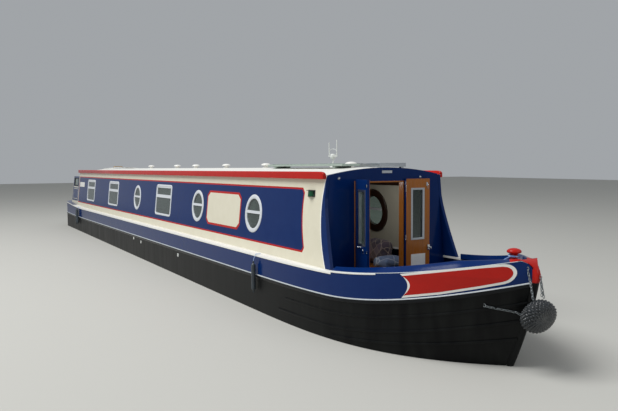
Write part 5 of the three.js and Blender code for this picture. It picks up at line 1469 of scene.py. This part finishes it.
# %% Side fenders
TUBE_Y = -(HALF_BEAM + 0.012 + 0.034)
tubes, lashings = {"side_fender_fore": [], "side_fenders_aft": []}, []
for fender, x_head, x_foot, head, foot in [("side_fender_fore", -1.313, -1.313, -0.085, -0.476),
                                           ("side_fenders_aft", -12.600, -12.540, -0.012, -0.456),
                                           ("side_fenders_aft", -12.640, -12.710, -0.012, -0.456)]:
    top, bottom = at(x_head, TUBE_Y, head), at(x_foot, TUBE_Y, foot)
    long = float(np.linalg.norm(bottom - top))
    end = [(0.0, 0.0), (0.008, 0.0), (0.0095, 0.010), (0.010, 0.022), (0.017, 0.030), (0.026, 0.040), (0.0285, 0.052)]
    ribs = [(0.0275 + 0.0013 * (k % 2), 0.060 + k * (long - 0.120) / 24) for k in range(25)]
    tube = end + ribs + [(r, long - d) for r, d in end[::-1]]
    tubes[fender].append(turned(tube, top, bottom - top, 28))
    for spot in (top, bottom):
        tubes[fender].append(hoop(spot + (bottom - top) / long * (0.008 if spot is top else -0.008), 0.009, 0.004,
                                  (bottom - top) / long, (0, 1, 0), 1.2))
    lift = float(stern_lift(x_head))
    path = at(x_head, [TUBE_Y, TUBE_Y + 0.006, -1.062, -1.0515, -1.046, -1.020, -0.985],
              [head - 0.004, head + 0.3 * (lift - head), lift - 0.016, lift + 0.001, lift + 0.006, lift + 0.0045,
               lift + 0.0045])
    line, _ = through(path, 60)
    lashings.append(skin(laid(line + (0.0, 0.0, 1e-4), 0.0042, 0.02, 9)))
for fender, parts in tubes.items():
    make(f"{fender}_moulded", heap(*parts), fender_vinyl, slot="rubber", instead_of=[fender])
make("fender_lashings", heap(*lashings), rope_pale, slot="rope")
print("bow fender of", 2 * KNUCKLES, "knuckles round,", sum(len(c[0]) for c in chains) // 84, "links of chain")

# %% [markdown]
# ## On the roof
# The sliding hatch is a light arched lid with turned-down sides that runs on two rails. Ahead of it stand a solar
# panel of dark cells under glass, a boarding plank gritted against slipping, and a small aerial. A cell is 156 mm
# wide, with fine silver lines across it, so the pattern is set by the distance to the nearest line.
# %% Hatch, solar panel, plank and aerial
HATCH_OUT = HATCH_HALF + 0.040
hatch_low = float(roof_h(HATCH_OUT)) + 0.014
hatch_y = np.linspace(-HATCH_OUT, HATCH_OUT, 33)
hatch_top = hatch_low + 0.030 * (1 - (hatch_y / HATCH_OUT) ** 2)
hatch_x = np.array([ROOF_AFT - 0.020, ROOF_AFT - 0.010, HATCH_FORE + 0.010, HATCH_FORE + 0.020])[:, None]
lid = slab(at(hatch_x, hatch_y, hatch_top), at(hatch_x, hatch_y, hatch_top - 0.008))
grip_x = np.array([-12.325, -12.325, -12.318, -12.300, -12.300, -12.300, -12.318, -12.325, -12.325])
grip_y = np.array([-0.120, -0.120, -0.119, -0.108, 0.0, 0.108, 0.119, 0.120, 0.120])
grip, _ = through(at(grip_x[1:-1], grip_y[1:-1], hatch_low + np.array([0.024, 0.045, 0.056, 0.058, 0.056, 0.045, 0.024])),
                  40)
make("hatch_lid", heap(lid, *[slab(at(hatch_x, np.array([y0, y1]), hatch_low - 0.0005), at(hatch_x, np.array([y0, y1]),
                                                                                           hatch_low - 0.016))
                              for y0, y1 in ((-HATCH_OUT, -HATCH_OUT + 0.006), (HATCH_OUT - 0.006, HATCH_OUT))]),
     roof_white, "hatch", "white", ["sliding_hatch"], bevel=0.002)
make("hatch_grip", pipe(grip, 0.007, 12), brass, "hatch", "brass")
rails = [slab(at(np.array([-12.340, -10.640])[:, None], way * np.array([0.378, 0.388]), roof_h(0.388) + 0.008),
              at(np.array([-12.340, -10.640])[:, None], way * np.array([0.378, 0.388]), roof_h(0.388) - 0.004))
         for way in (-1, 1)]
make("hatch_rails", heap(*rails), roof_white, slot="white", bevel=0.002)


def solar_cells(x0, y0, pitch):
    """Solar cells under glass: dark blue squares, pale gaps where a place is nearest a line, silver lines across."""
    material, tree, shader = finish_of("silicon_cells_under_glass", Roughness=0.06, IOR=1.5, Coat_Weight=0.5)
    place = add(tree, "ShaderNodeSeparateXYZ", {0: add(tree, "ShaderNodeTexCoord").outputs["Object"]}).outputs

    def near(value, start, step, wide):
        moved = add(tree, "ShaderNodeMath", {0: value, 1: start}, operation="SUBTRACT").outputs[0]
        off = add(tree, "ShaderNodeMath", {0: moved, 1: step}, operation="PINGPONG").outputs[0]
        return add(tree, "ShaderNodeMath", {0: off, 1: wide}, operation="LESS_THAN").outputs[0]

    gap = add(tree, "ShaderNodeMath", {0: near(place["X"], x0, pitch / 2, 0.0022), 1: near(place["Y"], y0, pitch / 2, 0.0022)},
              operation="MAXIMUM").outputs[0]
    line = near(place["Y"], y0 + pitch / 6, pitch / 6, 0.0008)
    tone = linear("0d1b3d")
    for mask, code in ((line, "8f98a6"), (gap, "c9ced4")):
        tone = add(tree, "ShaderNodeMix", {"Factor": mask, "A": tone, "B": linear(code)}, data_type="RGBA").outputs["Result"]
    tree.links.new(tone, shader.inputs["Base Color"])
    return material


def level_with(h):
    """A level plane at that height: u along the boat, v to port, w up."""
    return lambda u, v, w: at(u, v, h + w)


SOLAR = (-0.950, -0.250, 0.090, 0.490)
solar_line, solar_in = rect(*SOLAR), rect(-0.928, -0.272, 0.112, 0.468)
solar_low = float(roof_h(0)) + 0.028
on_panel = level_with(solar_low)
make("solar_frame", heap(ring_of(solar_line, solar_in, -0.022, 0.025, on_panel),
                         *[block((x - 0.020, x + 0.020), (y - 0.020, y + 0.020), (float(roof_h(abs(y) - 0.02)) - 0.004,
                                                                                  solar_low - 0.0225))
                           for x in (-0.90, -0.30) for y in (0.12, 0.46)]),
     aluminium, slot="steel", instead_of=["solar_panel"], bevel=0.001)
make("solar_cells", plate_of(solar_in + (solar_in.mean(axis=0) - solar_in) * -0.004, 0.012, 0.0215, on_panel),
     solar_cells(-0.911 + FRONT, 0.134, 0.156), slot="pv")

plank_low = float(roof_h(0)) + 0.018
on_plank = level_with(plank_low)
treads = [plate_of(rect(x, x + 0.030, -0.325, -0.095), 0.0262, 0.0330, on_plank) for x in np.arange(-2.25, -0.50, 0.25)]
make("gang_plank_boards", heap(plate_of(rect(-2.35, -0.42, -0.340, -0.212), 0.0, 0.026, on_plank),
                               plate_of(rect(-2.35, -0.42, -0.208, -0.080), 0.0, 0.026, on_plank), *treads,
                               *[block((x - 0.030, x + 0.030), (-0.330, -0.090), (float(roof_h(0.09)) - 0.006,
                                                                                  plank_low - 0.0003))
                                 for x in (-2.15, -0.62)]),
     plank_paint, slot="navy", instead_of=["gang_plank"], bevel=0.003)

MAST_X = -1.140
crown = float(roof_h(0))
arm_side = MAST_X - 0.092, MAST_X + 0.092
diamond = at([arm_side[0], arm_side[0] + 0.03, MAST_X, arm_side[1] - 0.03, arm_side[1], arm_side[1] - 0.03, MAST_X,
              arm_side[0] + 0.03], 0.0, crown + np.array([0.20, 0.235, 0.245, 0.235, 0.20, 0.165, 0.16, 0.165]))
make("tv_aerial_mast", heap(
    turned([(0.0, 0.0), (0.058, 0.0), (0.058, 0.004), (0.046, 0.012), (0.020, 0.030), (0.0115, 0.048), (0.009, 0.050),
            (0.009, 0.150), (0.0, 0.150)], at(MAST_X, 0, crown), sides=28),
    turned([(0.0, 0.0), (0.026, 0.002), (0.032, 0.012), (0.033, 0.035), (0.031, 0.058), (0.024, 0.069), (0.0, 0.071)],
           at(MAST_X, 0, crown + 0.109), sides=28),
    pipe(at(np.linspace(MAST_X - 0.100, MAST_X + 0.100, 5), 0, crown + 0.148), 0.0075, 10),
    *[turned([(0.0, 0.0), (0.0062, 0.001), (0.0062, long - 0.003), (0.0, long)], at(x, 0, crown + 0.142), sides=12)
      for x, long in zip(arm_side, (0.188, 0.216))],
    pipe(diamond, 0.0030, 8, (0, 1, 0), ring=True)), white_plastic, slot="white", instead_of=["tv_aerial"])
print("hatch, panel, plank with", len(treads), "treads, aerial")

# %% [markdown]
# ## Doors at the stern
# The rear doors continue the cabin side when they stand open. Each has a white edge, a dark window in its upper part
# and a lined-out panel below. The pair at the companionway is framed and panelled, as joiners make them.
# %% Rear and companion doors
REAR_THICK = 0.030
for side_name, way in (("port", 1), ("starboard", -1)):
    def lean(u, v, w, way=way):
        """The cabin side's leaning plane."""
        return on_side(u, v, w, way)
    def free(h):
        """Where the leaf's free edge stands at that height, from the cabin's breadth there."""
        return CABIN_AFT - 0.004 - (cabin_y(h) - 0.036)
    body = f"rear_door_{side_name}"
    leaf = np.array([(free(0.150), 0.150), (-13.426, 0.150), (-13.426, 0.857), (free(0.857), 0.857)])
    hole = rect(-14.110, -13.530, 0.590, 0.800)
    clear = (hole - hole.mean(axis=0)) * (0.965, 0.90) + hole.mean(axis=0)
    make(f"{body}_leaf", ring_of(leaf, hole, -REAR_THICK, 0.0, lean), navy, body, "navy", [body], bevel=0.002)
    make(f"{body}_glazing", heap(ring_of(hole + (hole - hole.mean(axis=0)) * (0.05, 0.12), clear, 0.0002, 0.0050, lean),
                                 ring_of((hole - hole.mean(axis=0)) * 0.998 + hole.mean(axis=0), clear, -0.028, 0.0001,
                                         lean)), rubber, body, "rubber", bevel=0.001)
    make(f"{body}_pane", plate_of((clear - hole.mean(axis=0)) * 1.02 + hole.mean(axis=0), -0.018, -0.012, lean), glass,
         body, "glass")
    edge_line = np.array([(free(0.150) - 0.001, 0.150), (free(0.150) + 0.012, 0.150), (free(0.857) + 0.012, 0.857),
                          (free(0.857) - 0.001, 0.857)])
    lined = rect(-14.120, -13.520, 0.200, 0.500)
    make(f"{body}_lining_out", heap(plate_of(edge_line, 0.0002, 0.0009, lean),
                                    plate_of(rect(-14.140, -13.500, 0.533, 0.560), 0.0002, 0.0009, lean),
                                    ring_of(lined, (lined - lined.mean(axis=0)) * (0.962, 0.92) + lined.mean(axis=0),
                                            0.0002, 0.0009, lean)), cream, body, "cream")
    body = f"companion_door_{side_name}"
    def aft_face(u, v, w, way=way):
        """The closed companion door's plane: u out from the middle line, v the height, w along the boat."""
        return at(w, way * u, v)
    outline = rect(0.004, 0.334, 0.028, 1.030)
    panel = rect(0.060, 0.278, 0.110, 0.560)
    upper = rect(0.060, 0.278, 0.640, 0.960)
    x0, x1 = ROOF_AFT + 0.002, ROOF_AFT + 0.034
    split = 0.600
    lower_line, upper_line = rect(0.004, 0.334, 0.028, split), rect(0.004, 0.334, split + 0.0002, 1.030)
    make(f"{body}_frame", heap(ring_of(lower_line, panel, x0, x1, aft_face), ring_of(upper_line, upper, x0, x1, aft_face)),
         navy, body, "navy", [body], bevel=0.0015)
    raised = (panel - panel.mean(axis=0)) * 0.80 + panel.mean(axis=0), (upper - upper.mean(axis=0)) * 0.80 + upper.mean(axis=0)
    make(f"{body}_panels", heap(*[plate_of(line, x0 + 0.011, x1 - 0.011, aft_face) for line in (panel, upper)],
                                *[plate_of(line, x0 + 0.005, x0 + 0.0108, aft_face) for line in raised]),
         cream, body, "navy", bevel=0.002)
    make(f"{body}_knob", turned([(0.018, 0.0), (0.018, 0.003), (0.007, 0.005), (0.007, 0.018), (0.015, 0.024),
                                 (0.017, 0.031), (0.012, 0.038), (0.0, 0.040)], at(x0, way * 0.036, 0.60), (-1, 0, 0), 24),
         brass, body, "brass")
print("rear and companion doors")

# %% [markdown]
# ## Steering, propeller and engine
# The rudder's blade is a flat plate on a round stock. Above the deck the stock carries the swan neck, which bends
# forward to the tiller bar and its turned grip. A propeller blade is part of a screw surface: at each radius its slope
# is that of one pitch for each turn. The engine is hidden under the deck, so it is made only of its main castings.
# %% Rudder, tiller, propeller, shaft and engine
RUDDER_X = -14.870
stock_head = float(stern_lift(RUDDER_X)) + 0.080
blade_s = np.linspace(0, 1, 21)
blade_x = -14.690 - 0.490 * blade_s
blade_half = 0.009 * np.clip(np.sqrt(np.sin(np.pi * np.clip(blade_s, 0.001, 0.999))) * 1.25, 0, 1) + 0.0004
blade_z = np.array([0.060, 0.066, 0.260, 0.454, 0.460]) - DECK
shrink = np.array([0.4, 1.0, 1.0, 1.0, 0.4])
profile_u = np.concatenate([blade_x, blade_x[-2:0:-1]])
profile_v = np.concatenate([blade_half, -blade_half[-2:0:-1]])
make("rudder_blade", heap(skin(np.stack([at(profile_u, profile_v * s, z) for z, s in zip(blade_z, shrink)])),
                          turned([(0.0, 0.0), (0.020, 0.002), (0.020, stock_head + DECK - 0.020), (0.0175, stock_head + DECK - 0.016),
                                  (0.0, stock_head + DECK - 0.016)], at(RUDDER_X, 0, 0.016 - DECK), sides=24),
                          turned([(0.0, 0.0), (0.030, 0.0), (0.032, 0.004), (0.032, 0.036), (0.030, 0.040), (0.0, 0.040)],
                                 at(RUDDER_X, 0, 0.462 - DECK), sides=24)),
     black, "rudder", "hull_black", ["rudder"])
tiller_line, tiller_long = through(at(RUDDER_X + np.array([0, -0.010, -0.055, -0.045, 0.110, 0.420, 0.800, 1.380]), 0,
                                      np.array([stock_head + 0.004, stock_head + 0.140, 0.480, 0.780, 0.975, 1.015, 1.020,
                                                1.025])), 160)
far = np.linspace(0, tiller_long, 160)
neck_end = int(np.searchsorted(far, 1.02))
neck_radius = 0.019 + 0.004 * ((far[:neck_end] > 0.93) | (far[:neck_end] < 0.03))
make("swan_neck", pipe(tiller_line[:neck_end], neck_radius, 20, (0, 1, 0)), red, "rudder", "red", ["tiller"])
grip_start = int(np.searchsorted(far, tiller_long - 0.30))
bar_radius = np.where(far[neck_end:grip_start] < 1.05, 0.019, 0.0145)
make("tiller_bar", pipe(tiller_line[neck_end:grip_start] - (0, 0, 1e-4), bar_radius, 20, (0, 1, 0)), brass, "rudder", "brass",
     ["tiller"])
grip_share = np.linspace(0, 1, len(far) - grip_start)
grip_radius = 0.0135 + 0.0055 * np.sin(np.pi * np.clip(grip_share * 1.06, 0, 1)) ** 0.6 + 0.002 * (grip_share > 0.93)
make("tiller_grip", pipe(tiller_line[grip_start:], grip_radius, 20, (0, 1, 0)), oak, "rudder", "oak", ["tiller"])

PROP_X, SHAFT_H = -14.170, 0.270 - DECK
PITCH = 0.260
out = np.linspace(0, 1, 26)[:, None]
chord = np.linspace(-1, 1, 17)[None]
blade_r = 0.030 + 0.174 * out
slope = np.arctan2(PITCH, 2 * np.pi * blade_r)
half_chord = 0.074 * np.sqrt(np.clip(np.sin(np.pi * (0.16 + 0.80 * out)), 0, 1))
blades = []
for turn in np.radians([0, 120, 240]):
    angle = turn + chord * half_chord * np.cos(slope) / blade_r
    lengthwise = chord * half_chord * np.sin(slope) * 0.55
    thick = 0.0009 + (0.0075 - 0.005 * out) * (1 - chord ** 2)
    faces_of = [at(PROP_X + lengthwise + side * thick, -blade_r * np.sin(angle), SHAFT_H + blade_r * np.cos(angle))
                for side in (1, -1)]
    blades.append(slab(*faces_of))
hub = turned([(0.0, -0.045), (0.020, -0.044), (0.024, -0.036), (0.033, -0.030), (0.036, -0.010), (0.036, 0.040),
              (0.034, 0.050), (0.0, 0.050)], at(PROP_X, 0, SHAFT_H), (1, 0, 0), 32)
make("propeller_screw", heap(hub, *blades), bronze, "propeller", "brass", ["propeller"])
make("shaft_tube", turned([(0.0, 0.0), (0.024, 0.0), (0.028, 0.004), (0.032, 0.010), (0.032, 0.060), (0.030, 0.064),
                           (0.030, 0.163), (0.0, 0.163)], at(-14.114, 0, SHAFT_H), (1, 0, 0), 28),
     black, slot="hull_black", instead_of=["stern_tube"])

engine_blocks = [((-12.96, -12.52), (-0.20, 0.20), (0.300, 0.560)), ((-12.94, -12.54), (-0.15, 0.15), (0.562, 0.680)),
                 ((-12.92, -12.56), (-0.11, 0.11), (0.682, 0.758)), ((-12.94, -12.54), (-0.23, 0.23), (0.120, 0.298)),
                 ((-12.98, -12.44), (-0.285, -0.235), (0.020, 0.118)), ((-12.98, -12.44), (0.235, 0.285), (0.020, 0.118))]
engine_parts = [block(x, y, (z[0] - DECK, z[1] - DECK)) for x, y, z in engine_blocks]
engine_parts += [turned([(0.0, 0.0), (0.17, 0.0), (0.19, 0.012), (0.19, 0.070), (0.14, 0.078), (0.0, 0.078)],
                        at(-12.518, 0, 0.330 - DECK), (1, 0, 0), 32),
                 turned([(0.0, 0.0), (0.09, 0.0), (0.09, 0.024), (0.0, 0.026)], at(-12.962, 0.0, 0.330 - DECK), (-1, 0, 0), 28),
                 turned([(0.0, 0.0), (0.044, 0.0), (0.046, 0.006), (0.046, 0.104), (0.038, 0.112), (0.0, 0.112)],
                        at(-12.80, 0.202, 0.430 - DECK), (0, 1, 0), 24),
                 turned([(0.0, 0.0), (0.052, 0.0), (0.055, 0.020), (0.055, 0.190), (0.0, 0.200)],
                        at(-12.84, -0.202, 0.480 - DECK), (0.0, -0.35, 0.94), 24)]
make("engine_castings", heap(*engine_parts), engine_paint, slot="cast", instead_of=["engine"], bevel=0.004)
print("rudder, tiller", round(tiller_long, 2), "m, propeller, engine")
# %% [markdown]
# ## The saloon seen through the door
# Just inside the door a long oak locker serves as a seat, and two cushions lie on it. A cushion is a sewn cover with a
# soft filling, so its shape comes from simulated cloth: a slightly smaller block is given a cloth skin, blown up by
# pressure with no weight on it, and no point may move further than a cap. What it gains is the crown of the faces and
# the pull at the edges.
# %% Locker and cushions
seat_top = 0.960 - DECK
panels = [plate_of(rect(x, x + 0.250, -0.98, -0.36), 0.2600, 0.2520, lambda u, v, w: at(u, w, v))
          for x in np.arange(-1.56, -0.60, 0.285)]
make("saloon_locker", heap(block((-1.60, -0.42), (0.262, 0.790), (0.096 - DECK, seat_top - 0.024)),
                           block((-1.60, -0.405), (0.245, 0.790), (seat_top - 0.0235, seat_top)), *panels),
     oak, slot="oak", instead_of=["saloon_seat"], bevel=0.003)


def swollen(low, high, power, cap, voxel=0.006, frames=20):
    """A sewn block blown up as cloth, with ends rounded by 1 - height to a power; no point moves past the cap."""
    low, high = np.array(low), np.array(high)
    middle, half = (low + high) / 2, (high - low) / 2
    turn = np.linspace(0, 2 * np.pi, 48, endpoint=False)
    box_out = 1 / np.maximum(np.abs(np.cos(turn)), np.abs(np.sin(turn)))
    flat = np.stack([np.cos(turn), np.sin(turn)], axis=-1) * np.minimum(box_out, 1.33)[:, None]
    heights = np.linspace(-0.985, 0.985, 19)
    tiers = zip(heights, (1 - np.abs(heights) ** power) ** (1 / power))
    loops = [np.c_[middle[:2] + half[:2] * flat * s, np.full(48, middle[2] + half[2] * z)] for z, s in tiers]
    points, faces = skin(np.stack(loops))
    blank = bpy.data.meshes.new("blank")
    blank.from_pydata(points.tolist(), [], [face for group in faces for face in group.tolist()])
    cover = bpy.data.objects.new("cover", blank)
    bpy.context.scene.collection.objects.link(cover)
    remesh = cover.modifiers.new("even", "REMESH")
    remesh.mode, remesh.voxel_size = "VOXEL", voxel
    bpy.context.view_layer.update()
    even = bpy.data.meshes.new_from_object(cover.evaluated_get(bpy.context.evaluated_depsgraph_get()))
    cover.modifiers.remove(remesh)
    cover.data = even
    start = np.zeros(3 * len(even.vertices), np.float32)
    even.vertices.foreach_get("co", start)
    start = start.reshape(-1, 3).astype(float)
    moved = np.zeros_like(start)
    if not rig.quick():
        cloth = cover.modifiers.new("cover", "CLOTH")
        cloth.settings.use_pressure = True
        cloth.settings.uniform_pressure_force = 4.0
        cloth.settings.effector_weights.gravity = 0.0
        for frame_number in range(1, frames + 1):
            bpy.context.scene.frame_set(frame_number)
        found = cover.evaluated_get(bpy.context.evaluated_depsgraph_get()).data
        end = np.zeros(3 * len(start), np.float32)
        found.vertices.foreach_get("co", end)
        moved = end.reshape(-1, 3) - start
        far = np.linalg.norm(moved, axis=1, keepdims=True)
        moved *= np.minimum(1, cap / np.maximum(far, 1e-9))
    polygons = np.zeros(len(even.loops), np.int32)
    even.polygons.foreach_get("vertices", polygons)
    bpy.data.objects.remove(cover)
    bpy.context.scene.frame_set(1)
    return start + moved, [polygons.reshape(-1, 4)]


def woven(name, codes, motif):
    """A woven cover: yarns 1.2 mm apart crossing in relief, and a patchwork of squares with darker lines between."""
    material, tree, shader = finish_of(name, Roughness=0.85, Sheen_Weight=0.35, Sheen_Roughness=0.5)
    where = add(tree, "ShaderNodeTexCoord").outputs["Object"]
    tilted = add(tree, "ShaderNodeMapping", {"Vector": where, "Rotation": (0.5, 0.6, 0.4)}).outputs["Vector"]
    patch = add(tree, "ShaderNodeTexVoronoi", {"Vector": tilted, "Scale": motif, "Randomness": 0.2},
                distance="CHEBYCHEV")
    ramp = add(tree, "ShaderNodeValToRGB", {"Fac": add(tree, "ShaderNodeSeparateColor", {0: patch.outputs["Color"]}).outputs[0]})
    ramp.color_ramp.interpolation = "CONSTANT"
    for k, code in enumerate(codes[:-1]):
        stop = ramp.color_ramp.elements[0] if k == 0 else ramp.color_ramp.elements.new(k / (len(codes) - 1))
        stop.position, stop.color = k / (len(codes) - 1), linear(code)
    ramp.color_ramp.elements.remove(ramp.color_ramp.elements[-1])
    edge = add(tree, "ShaderNodeTexVoronoi", {"Vector": tilted, "Scale": motif, "Randomness": 0.2},
               feature="DISTANCE_TO_EDGE")
    seam = add(tree, "ShaderNodeMath", {0: edge.outputs["Distance"], 1: 0.03}, operation="LESS_THAN").outputs[0]
    tone = add(tree, "ShaderNodeMix", {"Factor": seam, "A": ramp.outputs["Color"], "B": linear(codes[-1])},
               data_type="RGBA").outputs["Result"]
    yarn = add(tree, "ShaderNodeTexWave", {"Vector": where, "Scale": 260.0, "Distortion": 0.6})
    across = add(tree, "ShaderNodeTexWave", {"Vector": where, "Scale": 260.0, "Distortion": 0.6}, bands_direction="Z")
    both = add(tree, "ShaderNodeMath", {0: yarn.outputs["Fac"], 1: across.outputs["Fac"]}, operation="ADD").outputs[0]
    bump = add(tree, "ShaderNodeBump", {"Height": both, "Strength": 0.4, "Distance": 0.0008})
    tree.links.new(tone, shader.inputs["Base Color"])
    tree.links.new(bump.outputs["Normal"], shader.inputs["Normal"])
    return material


patchwork = woven("woven_patchwork_mauve", ["6b5c6e", "574b58", "7b6b74", "4c4450", "66575c", "b3a292"], 11.0)
plain_blue = woven("woven_blue_grey", ["6f81a4", "6a7c9f", "74879f", "b9c2d0"], 6.0)
seat_z = 0.961
CUSHIONS = [
    # name, lower and upper corner within its cover, power of its ends, cap, cover, filling
    ("cushion_back", (-1.315, 0.642, seat_z + 0.008), (-0.825, 0.768, seat_z + 0.368), 3.2, 0.016, patchwork, 0.75),
    ("cushion_seat", (-0.745, 0.345, seat_z + 0.006), (-0.455, 0.705, seat_z + 0.176), 3.6, 0.012, plain_blue, 0.6),
]
for cushion, low, high, power, cap, cover, fill in CUSHIONS:
    points, faces = swollen(np.array(low) + (FRONT, 0, 0), np.array(high) + (FRONT, 0, 0), power, cap)
    points[:, 2] = np.maximum(points[:, 2], seat_z)
    piece = make(f"{cushion}_cover", (points, faces), cover, slot="fabric", instead_of=[cushion], crease=180)
    smooth = piece.modifiers.new("smooth", "SUBSURF")
    smooth.levels = smooth.render_levels = 1
    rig.padded(piece, fill=fill)
    print(cushion, len(points), "points, box", np.round(points.min(axis=0), 3), np.round(points.max(axis=0), 3))
# %% Finish the script
lowest_and_highest = [list(corner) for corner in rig.bounds()]
with open("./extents.json", "w") as size_file:
    json.dump({"cad": cad_box, "visual": lowest_and_highest}, size_file)
